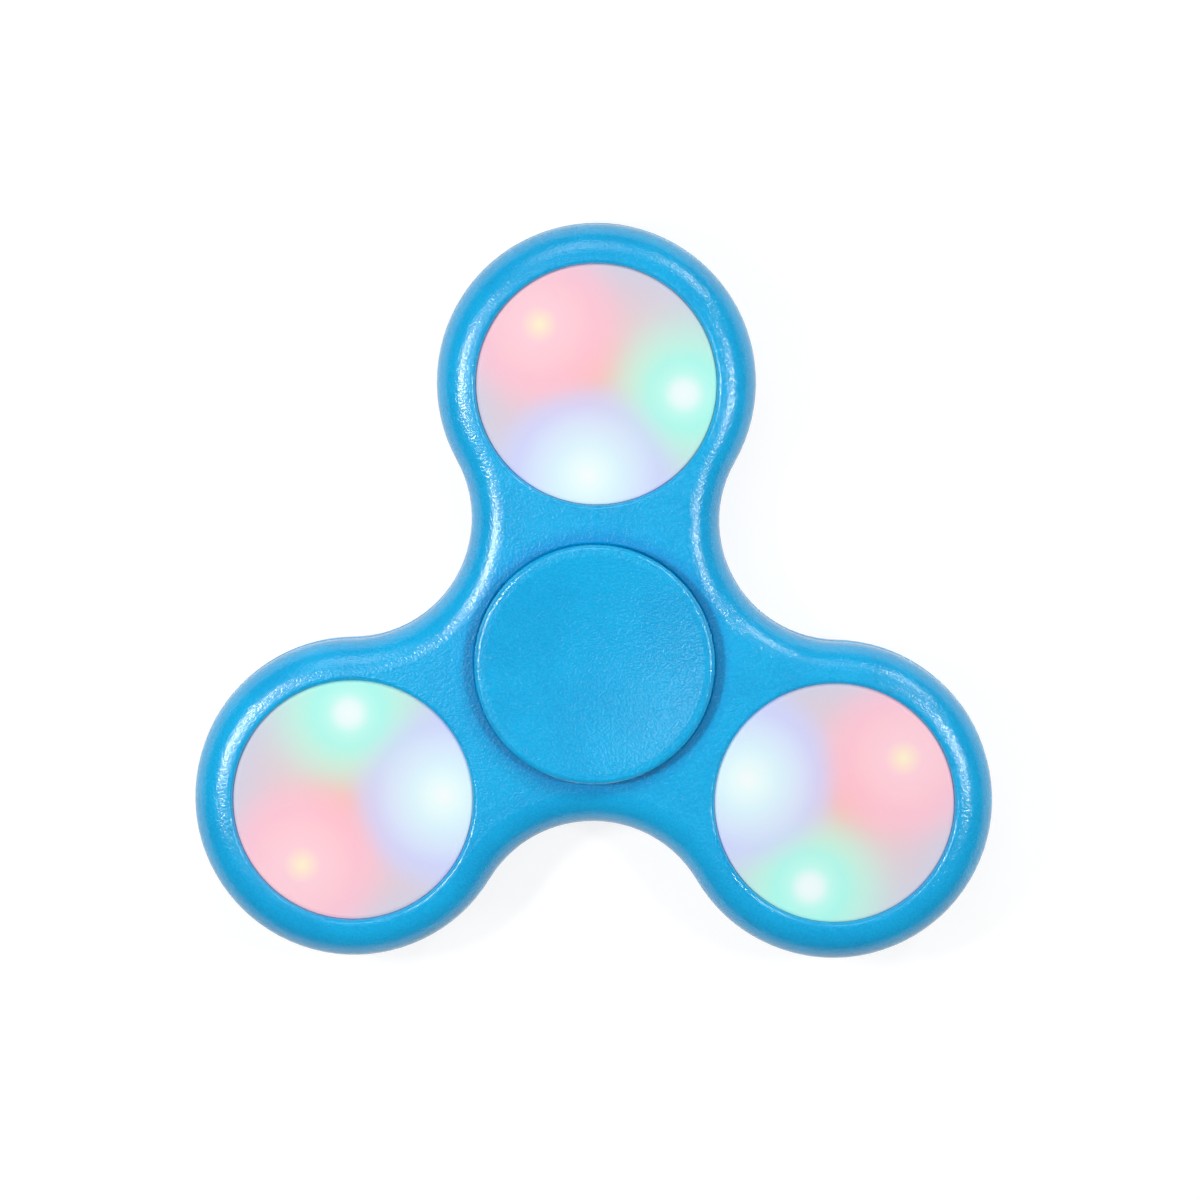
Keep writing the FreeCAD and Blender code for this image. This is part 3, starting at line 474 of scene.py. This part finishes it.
# Each slot's name, colour, tarnish, roughness and trace, with the trace's pitch and depth.
METALS = {
    "bearing_steel": ("ground_steel", (0.60, 0.60, 0.61), (0.50, 0.49, 0.48), 0.20, hoops, 0.05, 0.002),
    "ball_chrome": ("lapped_steel", (0.68, 0.68, 0.69), (0.62, 0.62, 0.62), 0.04, cloudy, 0.60, 0.0005),
    "pressed_steel": (
        "pressed_steel_sheet", (0.56, 0.56, 0.57), (0.47, 0.46, 0.45), 0.26, rolling_lines, 0.07, 0.003,
    ),
    "screw_steel": ("zinc_plated_steel", (0.58, 0.60, 0.62), (0.48, 0.49, 0.48), 0.30, cloudy, 0.35, 0.003),
    "contact_nickel": (
        "nickel_strip", (0.66, 0.62, 0.55), (0.56, 0.52, 0.45), 0.22, rolling_lines, 0.09, 0.002,
    ),
}
for slot, recipe in METALS.items():
    FINISHES[slot] = metal(*recipe)

# %% [markdown]
# ## Button cells
#
# A button cell is a nickelled can with a smaller cap let into it, and a thin ring of dark nylon keeps the two
# apart. Seen from the side, the can's wall carries faint drawing lines. The ring is drawn by how far a point
# is from the axis of its cell, so the pattern needs the cells' own centres, which follow from the module's.

# %% Cell finish
CELL_CIRCLE = 5.6
CELL_CAP_RADIUS = 2.9
CELL_RING_WIDTH = 0.25
CELL_RING_EDGE = 0.02
CELL_ANGLES = (0, 120, 240)


def button_cell(module):
    cell = Finish(f"button_cell_{module.number}")
    place = cell.place(module.centre, module.turn)
    nearest = None
    for angle in CELL_ANGLES:
        way = math.radians(angle)
        away = distance(cell, place, (CELL_CIRCLE * math.cos(way), CELL_CIRCLE * math.sin(way)))
        nearest = away if nearest is None else nearest.maths("MINIMUM", nearest, away)
    outside_cap = cell.ease(nearest, CELL_CAP_RADIUS - CELL_RING_EDGE, CELL_CAP_RADIUS + CELL_RING_EDGE)
    ring = outside_cap * (nearest < CELL_CAP_RADIUS + CELL_RING_WIDTH)
    worked = cloudy(cell, place, 0.5)
    cell.surface({
        "Base Color": cell.mix(ring, (0.64, 0.63, 0.60), (0.03, 0.03, 0.03)),
        "Metallic": 1 - ring,
        "Roughness": 0.18 + worked * 0.16 + ring * 0.25,
        "Normal": cell.bump(worked, 0.002),
    })
    return cell


FINISHES["cell_steel"] = {f"button_cells_{module.number}": button_cell(module) for module in MODULES}

# %% [markdown]
# ## Circuit boards and LEDs
#
# The boards are glass-epoxy with a green solder mask. Copper shows through the mask as slightly lighter
# tracks, the edge of the board is bare yellowish epoxy, and the pads are tinned. The mask's face is told from
# the edge by the surface's height, because the cut edge lies between the two faces.

# %% Circuit board
MASK_GREEN = (0.012, 0.105, 0.045)
TRACK_GREEN = (0.030, 0.190, 0.080)
BARE_EPOXY = (0.36, 0.33, 0.16)
MASK_THICKNESS = 0.04
TRACK_PATTERN = {"Scale": 1.0, "Mortar Size": 0.09, "Brick Width": 2.3, "Row Height": 1.15}


def circuit_board(module):
    board = Finish(f"circuit_board_{module.number}")
    place = board.place(module.centre, module.turn)
    _, _, z = board.parts(place)
    low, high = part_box(f"circuit_board_{module.number}")
    back, front = (low.z - module.centre.z) / MM, (high.z - module.centre.z) / MM
    above_back = board.ease(z, back, back + MASK_THICKNESS)
    inside = above_back * (1 - board.ease(z, front - MASK_THICKNESS, front))
    tracks = board.node("ShaderNodeTexBrick", inputs={"Vector": place, **TRACK_PATTERN}, output="Fac")
    weave = board.noise(place, 0.25)
    colour = board.mix(tracks, MASK_GREEN, TRACK_GREEN)
    board.surface({
        "Base Color": board.mix(inside, colour, BARE_EPOXY),
        "Roughness": 0.22 + inside * 0.40 + weave * 0.06,
        "Normal": board.bump(tracks + weave * 0.3, 0.02),
    })
    return board


FINISHES["board_green"] = {f"circuit_board_{module.number}": circuit_board(module) for module in MODULES}

# %% LEDs
LED_LIGHTS = {"red": (1.0, 0.12, 0.08), "green": (0.10, 1.0, 0.45), "blue": (0.20, 0.45, 1.0)}
LED_STEP = (0.38, 0.42)
LED_STRENGTH = 3.0


def led(name, light):
    """A small LED: a pale base whose moulded block glows."""
    made = Finish(name)
    place = made.place()
    _, _, z = made.parts(place)
    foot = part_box("red_led_1")[0].z / MM
    lit = made.ease(z, foot + LED_STEP[0], foot + LED_STEP[1])
    frost = made.noise(place, 0.2)
    return made.surface({
        "Base Color": made.mix(lit, (0.80, 0.79, 0.74), light),
        "Emission Color": made.mix(lit, (0, 0, 0), light),
        "Emission Strength": LED_STRENGTH,
        "Roughness": 0.22 + frost * 0.10,
    })


for name, light in LED_LIGHTS.items():
    FINISHES[f"led_{name}"] = led(f"led_{name}_lit", light)

# %% [markdown]
# ## Give the solids their finishes
#
# Each solid came in with a plain material named after its slot. Its slot is given the finish made for it:
# most slots have one finish for all their solids, and a few have one for each solid.

# %% Assign the finishes
for name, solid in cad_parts.items():
    slot = solid.material_slots[0]
    finish = FINISHES[slot.material.name]
    slot.material = (finish[name] if isinstance(finish, dict) else finish).material
print("finished", len(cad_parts), "solids")

# %% [markdown]
# ## Modelling by hand, in code
#
# The small hardware is modelled with the same operators as in the viewport. An operator acts on whatever is
# selected, so each piece starts from an empty selection, and in edit mode the right faces, edges or points
# are picked by where they are.

# %% Modelling helpers
SKIN = 0.001 * MM
WELD = 0.0005 * MM
NEARLY = 0.99
SMOOTH_BELOW = math.radians(35)


def start_piece():
    """Leaves object mode with nothing selected."""
    if bpy.context.object and bpy.context.object.mode != "OBJECT":
        bpy.ops.object.mode_set(mode="OBJECT")
    bpy.ops.object.select_all(action="DESELECT")


def edit():
    bpy.ops.object.mode_set(mode="EDIT")


def done():
    bpy.ops.object.mode_set(mode="OBJECT")
    return bpy.context.object


def pick(kind, wanted):
    """Selects just the points, edges or faces whose middle passes the test."""
    bpy.ops.mesh.select_mode(type={"verts": "VERT", "edges": "EDGE", "faces": "FACE"}[kind])
    bpy.ops.mesh.select_all(action="DESELECT")
    mesh = bpy.context.object.data
    form = bmesh.from_edit_mesh(mesh)
    for element in getattr(form, kind):
        points = [element.co] if kind == "verts" else [corner.co for corner in element.verts]
        if wanted(sum(points, Vector()) / len(points), points):
            element.select_set(True)
    form.select_flush_mode()
    bmesh.update_edit_mesh(mesh)


def modify(piece, kind, settings):
    """Adds a modifier and applies it."""
    bpy.context.view_layer.objects.active = piece
    modifier = piece.modifiers.new(kind.title(), kind)
    for name, value in settings.items():
        setattr(modifier, name, value)
    bpy.ops.object.modifier_apply(modifier=modifier.name)


def settle(piece, name, body, slot):
    """Finishes a piece: its place in its mesh, normals outward, its finish, and riding on its body."""
    start_piece()
    piece.select_set(True)
    bpy.context.view_layer.objects.active = piece
    bpy.ops.object.transform_apply(location=True, rotation=True, scale=True)
    edit()
    bpy.ops.mesh.select_all(action="SELECT")
    bpy.ops.mesh.remove_doubles(threshold=WELD)
    bpy.ops.mesh.normals_make_consistent(inside=False)
    if bmesh.from_edit_mesh(piece.data).calc_volume(signed=True) < 0:
        bpy.ops.mesh.flip_normals()
    done()
    bpy.ops.object.shade_smooth_by_angle(angle=SMOOTH_BELOW)
    piece.name = piece.data.name = name
    piece.data.materials.clear()
    piece.data.materials.append(FINISHES[slot].material)
    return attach(piece, body)


# %% [markdown]
# ## Cover screws
#
# Three small self-tapping screws hold each battery cover. A turned blank with a flat head would do from afar,
# but a screw is known by its cross recess and its thread. One screw is modelled at the origin, head down, and
# copied nine times. The head is a disc whose upper face is inset and drawn out into the shank and its point.
# The recess is cut by two tapered bars, and the thread is a small triangle swept up the shank by the Screw
# modifier.

# %% Screw sizes
HEAD_RADIUS = 1.2 * MM
HEAD_HEIGHT = 0.6 * MM
HEAD_ROUND = 0.12 * MM
SHANK_RADIUS = 0.58 * MM
SCREW_LENGTH = 3.4 * MM
SCREW_FACETS = 40
POINT_LENGTH = 0.6 * MM
POINT_TAPER = 0.18
THREAD_START = HEAD_HEIGHT + 0.3 * MM
THREAD_PITCH = 0.42 * MM
THREAD_DEPTH = 0.14 * MM
THREAD_FLATNESS = 0.75
THREAD_STEPS = 20
RECESS_SPAN = 1.45 * MM
RECESS_WIDTH = 0.34 * MM
RECESS_DEPTH = 0.40 * MM
RECESS_TAPER = 0.62
SCREW_CIRCLE = 8.5 * MM
SCREW_ANGLES = [math.radians(degrees) for degrees in (60, 180, 300)]
SCREW_TWIST, MODULE_TWIST = 0.7, 1.9


# %% Screw blank
def screw_blank():
    """The head, the shank and the point, head down with its face at height 0."""
    start_piece()
    bpy.ops.mesh.primitive_cylinder_add(
        vertices=SCREW_FACETS, radius=HEAD_RADIUS, depth=HEAD_HEIGHT, location=(0, 0, HEAD_HEIGHT / 2),
    )
    blank = bpy.context.object
    bpy.ops.object.transform_apply()
    edit()
    pick("faces", lambda centre, points: all(point.z > HEAD_HEIGHT * NEARLY for point in points))
    bpy.ops.mesh.inset(thickness=HEAD_RADIUS - SHANK_RADIUS)
    rise = SCREW_LENGTH - HEAD_HEIGHT - POINT_LENGTH
    bpy.ops.mesh.extrude_region_move(TRANSFORM_OT_translate={"value": (0, 0, rise)})
    bpy.ops.mesh.extrude_region_move(TRANSFORM_OT_translate={"value": (0, 0, POINT_LENGTH)})
    bpy.ops.transform.resize(value=(POINT_TAPER, POINT_TAPER, 1))
    pick("edges", lambda centre, points: all(
        point.xy.length > HEAD_RADIUS * NEARLY and point.z < SKIN for point in points
    ))
    bpy.ops.mesh.bevel(offset=HEAD_ROUND, segments=4, affect="EDGES")
    return done()


# %% Cross recess
def cut_recess(blank):
    """Cuts the two slots of the cross with tapered bars."""
    for turn in (0, math.pi / 2):
        start_piece()
        bpy.ops.mesh.primitive_cube_add(size=1, rotation=(0, 0, turn))
        bar = bpy.context.object
        bar.scale = (RECESS_SPAN, RECESS_WIDTH, 2 * RECESS_DEPTH)
        bpy.ops.object.transform_apply()
        edit()
        pick("faces", lambda centre, points: all(point.z > RECESS_DEPTH * NEARLY for point in points))
        bpy.ops.transform.resize(value=(RECESS_TAPER, RECESS_TAPER, 1))
        done()
        modify(blank, "BOOLEAN", {"object": bar, "operation": "DIFFERENCE", "solver": "EXACT"})
        bpy.data.objects.remove(bar)
    return blank


# %% Thread
def thread(blank):
    """Winds the thread's ridge round the shank and joins it to the blank."""
    start_piece()
    turns = int((SCREW_LENGTH - HEAD_HEIGHT - POINT_LENGTH) / THREAD_PITCH) - 1
    foot = (SHANK_RADIUS, 0, THREAD_START)
    bpy.ops.mesh.primitive_circle_add(
        vertices=3, radius=THREAD_DEPTH, location=foot, rotation=(math.pi / 2, 0, math.pi / 2),
    )
    ridge = bpy.context.object
    bpy.ops.object.transform_apply()
    edit()
    bpy.ops.mesh.select_all(action="SELECT")
    bpy.ops.transform.rotate(value=math.pi / 2, orient_axis="Z", center_override=foot)
    bpy.ops.transform.resize(value=(1, 1, THREAD_FLATNESS), center_override=foot)
    done()
    modify(ridge, "SCREW", {
        "screw_offset": THREAD_PITCH,
        "iterations": turns,
        "steps": THREAD_STEPS,
        "render_steps": THREAD_STEPS,
        "use_merge_vertices": True,
    })
    edit()
    bpy.ops.mesh.select_all(action="SELECT")
    bpy.ops.mesh.fill_holes(sides=4)
    bpy.ops.mesh.normals_make_consistent(inside=False)
    done()
    start_piece()
    ridge.select_set(True)
    blank.select_set(True)
    bpy.context.view_layer.objects.active = blank
    bpy.ops.object.join()
    return blank


# %% Nine screws
def copy_of(piece, turn, where):
    """A copy with its own mesh, turned about Z and moved into place."""
    copy = piece.copy()
    copy.data = piece.data.copy()
    bpy.context.scene.collection.objects.link(copy)
    copy.rotation_euler = (0, 0, turn)
    copy.location = where
    return copy


screw = thread(cut_recess(screw_blank()))
cover_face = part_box("battery_cover_1")[0].z
for module in MODULES:
    for number, angle in enumerate(SCREW_ANGLES, 1):
        twist = SCREW_TWIST * number + MODULE_TWIST * module.number
        copy = copy_of(screw, twist, module.spot(SCREW_CIRCLE, angle, cover_face))
        settle(copy, f"cover_screw_{module.number}_{number}", "rotor", "screw_steel")
        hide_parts("cover_screws")
print("screw", len(screw.data.polygons), "faces")
bpy.data.objects.remove(screw)

# %% [markdown]
# ## Snap domes
#
# Under each plunger lies a snap dome, a crowned disc of spring steel that gives way with a click. It is the
# one piece of the spinner that changes its shape; here the solid gives its place to a mesh of the dome at
# rest.
# The disc is the cap of a sphere, cut off at its rim, thickened inwards, and levelled where it stands on the
# floor of the switch.

# %% Domes
DOME_RADIUS = 1.4 * MM
DOME_SHEET = 0.08 * MM
DOME_SEGMENTS, DOME_RINGS = 40, 60


def snap_dome(rise):
    """A crowned disc that stands on its rim at the origin."""
    ball = (DOME_RADIUS ** 2 + rise ** 2) / (2 * rise)
    start_piece()
    bpy.ops.mesh.primitive_uv_sphere_add(
        segments=DOME_SEGMENTS, ring_count=DOME_RINGS, radius=ball, location=(0, 0, rise - ball),
    )
    disc = bpy.context.object
    bpy.ops.object.transform_apply()
    edit()
    bpy.ops.mesh.select_all(action="SELECT")
    bpy.ops.mesh.bisect(plane_co=(0, 0, 0), plane_no=(0, 0, 1), clear_inner=True)
    done()
    modify(disc, "SOLIDIFY", {"thickness": DOME_SHEET, "offset": -1})
    edit()
    pick("verts", lambda centre, points: centre.z < SKIN)
    bpy.ops.transform.resize(value=(1, 1, 0), center_override=(0, 0, 0))
    return done()


low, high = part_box("switch_dome_1")
dome_rise = high.z - low.z
disc = snap_dome(dome_rise)
for module in MODULES:
    node = f"switch_dome_{module.number}"
    foot = middle(node)
    foot.z = low.z
    copy = copy_of(disc, 0, foot)
    settle(copy, f"snap_dome_{module.number}", "rotor", "pressed_steel")
    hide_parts(node)
    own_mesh(copy)
print("snap dome", len(disc.data.polygons), "faces, rise", round(dome_rise / MM, 3), "mm")
bpy.data.objects.remove(disc)

# %% [markdown]
# ## Polarity marks
#
# Battery covers carry a small moulded plus sign over each cell, so that the cells go back the right way up. A
# bar is raised from the cover, its middle is drawn out to both sides, and its upper edges are softened.

# %% Plus signs
PLUS_SPAN = 1.8 * MM
PLUS_WIDTH = 0.42 * MM
PLUS_RISE = 0.14 * MM
PLUS_ROUND = 0.05 * MM


def plus_sign():
    """A raised plus sign at the origin, facing down."""
    start_piece()
    bpy.ops.mesh.primitive_cube_add(size=1)
    sign = bpy.context.object
    sign.scale = (PLUS_WIDTH, PLUS_WIDTH, 2 * PLUS_RISE)
    bpy.ops.object.transform_apply()
    edit()
    for side in (Vector((1, 0, 0)), Vector((-1, 0, 0)), Vector((0, 1, 0)), Vector((0, -1, 0))):
        flank, reach = side * PLUS_WIDTH / 2, side * (PLUS_SPAN - PLUS_WIDTH) / 2
        pick("faces", lambda centre, points: (centre - flank).length < SKIN)
        bpy.ops.mesh.extrude_region_move(TRANSFORM_OT_translate={"value": reach})
    pick("edges", lambda centre, points: all(point.z < -PLUS_RISE * NEARLY for point in points))
    bpy.ops.mesh.bevel(offset=PLUS_ROUND, segments=2, affect="EDGES")
    return done()


sign = plus_sign()
for module in MODULES:
    for number, angle in enumerate(CELL_ANGLES, 1):
        where = module.spot(CELL_CIRCLE * MM, math.radians(angle), cover_face)
        copy = copy_of(sign, module.turn + math.radians(angle), where)
        settle(copy, f"plus_mark_{module.number}_{number}", "rotor", "white_plastic")
print("plus sign", len(sign.data.polygons), "faces")
bpy.data.objects.remove(sign)

# %% [markdown]
# ## Parting line
#
# The body is moulded between two halves of a steel tool that meet at its middle height, and the join leaves a
# hair-fine ridge all round the outline, which paint softens but doesn't hide. The outline is already there in
# the solid: a copy of the body is cut at its middle height, only the cut is kept, and the outer loop of it
# becomes a thin bead.

# %% Parting bead
BEAD_RADIUS = 0.045 * MM
BORE_ZONE = 12.2 * MM
BEAD_STEP = 0.02 * MM


def parting_line():
    """The bead along the body's outline at its middle height."""
    start_piece()
    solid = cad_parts["body_frame"]
    cut = solid.copy()
    cut.data = solid.data.copy()
    cut.parent = None
    for key in list(cut.keys()):
        del cut[key]
    bpy.context.scene.collection.objects.link(cut)
    cut.select_set(True)
    bpy.context.view_layer.objects.active = cut
    edit()
    bpy.ops.mesh.select_all(action="SELECT")
    bpy.ops.mesh.remove_doubles(threshold=SKIN)
    bpy.ops.mesh.bisect(plane_co=(0, 0, 0), plane_no=(0, 0, 1), clear_inner=True, clear_outer=True)
    bores = [Vector((0, 0))] + [module.centre.xy for module in MODULES]
    pick("verts", lambda centre, points: min((centre.xy - bore).length for bore in bores) < BORE_ZONE)
    bpy.ops.mesh.delete(type="VERT")
    bpy.ops.mesh.select_all(action="SELECT")
    bpy.ops.mesh.remove_doubles(threshold=BEAD_STEP)
    done()
    bpy.ops.object.convert(target="CURVE")
    line = bpy.context.object
    line.data.bevel_depth = BEAD_RADIUS
    line.data.bevel_resolution = 2
    bpy.ops.object.convert(target="MESH")
    return bpy.context.object


bead = settle(parting_line(), "parting_line", "rotor", "satin_blue")
print("parting line", len(bead.data.polygons), "faces")

# %% [markdown]
# ## Floor and background
#
# The spinner lies on its back cap on a plain pale floor. A catalogue picture has a pure white ground, and the
# easy way to get it would be more light, which would bleach the spinner too. Here the floor itself is pale,
# and only what the camera, a mirror or a pane sees of it is lifted towards white, so the soft shadow under
# the spinner stays and the light on the spinner doesn't change. From below the floor is clear, to show the
# back.

# %% Floor
FLOOR_SIZE = 4.0
FLOOR_PALE = (0.80, 0.80, 0.80)
FLOOR_SPECKLE = (0.7, 0.7, 0.7)
SPECKLE_SHARE = 0.04
FLOOR_LIFT = 0.68
FLOOR_WHITE = 1.22


def white_ground(finish):
    """1 for the rays that should see a white ground."""
    kinds = ("Is Camera Ray", "Is Glossy Ray", "Is Transmission Ray")
    camera, glossy, through = [finish.node("ShaderNodeLightPath", output=kind) for kind in kinds]
    seen = camera + glossy + through
    return seen.maths("MINIMUM", seen, 1.0)


def pale_floor():
    ground = Finish("pale_floor")
    speckle = ground.noise(ground.place(), 3.0) * SPECKLE_SHARE
    ground.surface({"Base Color": ground.mix(speckle, FLOOR_PALE, FLOOR_SPECKLE), "Roughness": 0.9})
    share = white_ground(ground) * FLOOR_LIFT
    white = ground.node("ShaderNodeEmission", inputs={"Color": (1, 1, 1, 1), "Strength": FLOOR_WHITE})
    matt = Wire(ground, ground.shader.outputs[0])
    lifted = ground.node("ShaderNodeMixShader", inputs={0: share, 1: matt, 2: white})
    below = ground.node("ShaderNodeNewGeometry", output="Backfacing")
    clear = ground.node("ShaderNodeBsdfTransparent")
    whole = ground.node("ShaderNodeMixShader", inputs={0: below, 1: lifted, 2: clear})
    ground.feed(ground.tree.nodes["Material Output"].inputs["Surface"], whole)
    return ground


start_piece()
bpy.ops.mesh.primitive_plane_add(size=FLOOR_SIZE, location=(0, 0, solids_low.z))
floor = bpy.context.object
floor.name = "floor"
floor.data.materials.append(pale_floor().material)
floor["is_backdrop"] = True
print("floor at", round(solids_low.z / MM, 2), "mm")

# %% [markdown]
# ## Studio light
#
# A satin surface is described by its highlights, so the lamps are placed by where their reflections fall. A
# point on the body's rounded edge that leans by some angle mirrors a lamp that stands twice as far over. A
# narrow softbox on the left, about 20 cm up, draws the long streaks down the left shoulders and the neck, a
# weaker one on the right draws their partners, and a small one far behind on the right adds the short flicks
# on the upper right. A soft panel high on the left, a large one behind and the weak light of the room fill
# the rest. Together they light a level surface at about the strength at which a colour looks as it is
# written.

# %% Lamps
# Each lamp's place and its two sides in millimetres, and its power in watts.
LAMPS = {
    "left_box": ((-134, 19, 211), 23, 44, 0.295),
    "right_box": ((134, 9, 205), 17, 32, 0.158),
    "rear_right_box": ((280, 335, 330), 62, 62, 0.47),
    "top_left_panel": ((-125, 31, 470), 120, 120, 0.13),
    "rear_panel": ((-60, 420, 420), 260, 260, 0.48),
}
WORLD_LEVEL = 0.15


def softbox(name, place, across, along, watts):
    """A lamp that faces the spinner's middle."""
    data = bpy.data.lights.new(name, "AREA")
    data.shape = "RECTANGLE"
    data.size, data.size_y = along * MM, across * MM
    data.energy = watts
    lamp = bpy.data.objects.new(name, data)
    bpy.context.scene.collection.objects.link(lamp)
    lamp.location = Vector(place) * MM
    lamp.rotation_euler = (-lamp.location).to_track_quat("-Z", "Y").to_euler()
    print("lamp", name, watts, "W")


for name, lamp in LAMPS.items():
    softbox(name, *lamp)

world = bpy.data.worlds.new("soft_room")
bpy.context.scene.world = world
world.use_nodes = True
sky = world.node_tree
room = sky.nodes["Background"]
backdrop = sky.nodes.new("ShaderNodeBackground")
for background, strength in ((room, WORLD_LEVEL), (backdrop, 1.0)):
    background.inputs["Color"].default_value = (1, 1, 1, 1)
    background.inputs["Strength"].default_value = strength
path = sky.nodes.new("ShaderNodeLightPath")
blend = sky.nodes.new("ShaderNodeMixShader")
sky.links.new(path.outputs["Is Camera Ray"], blend.inputs[0])
sky.links.new(room.outputs[0], blend.inputs[1])
sky.links.new(backdrop.outputs[0], blend.inputs[2])
sky.links.new(blend.outputs[0], sky.nodes["World Output"].inputs["Surface"])
bpy.context.scene.view_settings.view_transform = "Standard"

# %% [markdown]
# ## Camera
#
# The picture looks almost straight down on the lenses, with a long lens from about half a metre. The camera
# stands a few degrees towards the first arm and is rolled by a fraction of a degree.

# %% Camera
AIM = Vector((0.47 * MM, 5.60 * MM, 0))
CAMERA_DISTANCE = 0.550
CAMERA_LEAN = math.radians(4.5)
CAMERA_ROLL = math.radians(0.37)
VIEW_WIDTH = 112.68 * MM
SENSOR_WIDTH = 36

camera = bpy.data.objects.new("camera", bpy.data.cameras.new("camera"))
bpy.context.scene.collection.objects.link(camera)
camera.data.sensor_width = SENSOR_WIDTH
camera.data.lens = SENSOR_WIDTH * CAMERA_DISTANCE / VIEW_WIDTH
turned = Matrix.Rotation(-CAMERA_LEAN, 4, "X") @ Matrix.Rotation(CAMERA_ROLL, 4, "Z")
camera.matrix_world = Matrix.Translation(AIM) @ turned @ Matrix.Translation((0, 0, CAMERA_DISTANCE))
camera.data.clip_start, camera.data.clip_end = 0.01, 20
bpy.context.scene.camera = camera
print("lens", round(camera.data.lens, 1), "mm")

# %% [markdown]
# ## The size of the dressed spinner
#
# The pieces added here should hardly make the spinner larger than its solids. Only the parting line stands
# out, by the radius of its bead. Both boxes are printed.

# %% Sizes, and the end
low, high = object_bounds()
print("dressed box", [round(side / MM, 2) for side in high - low], "mm")
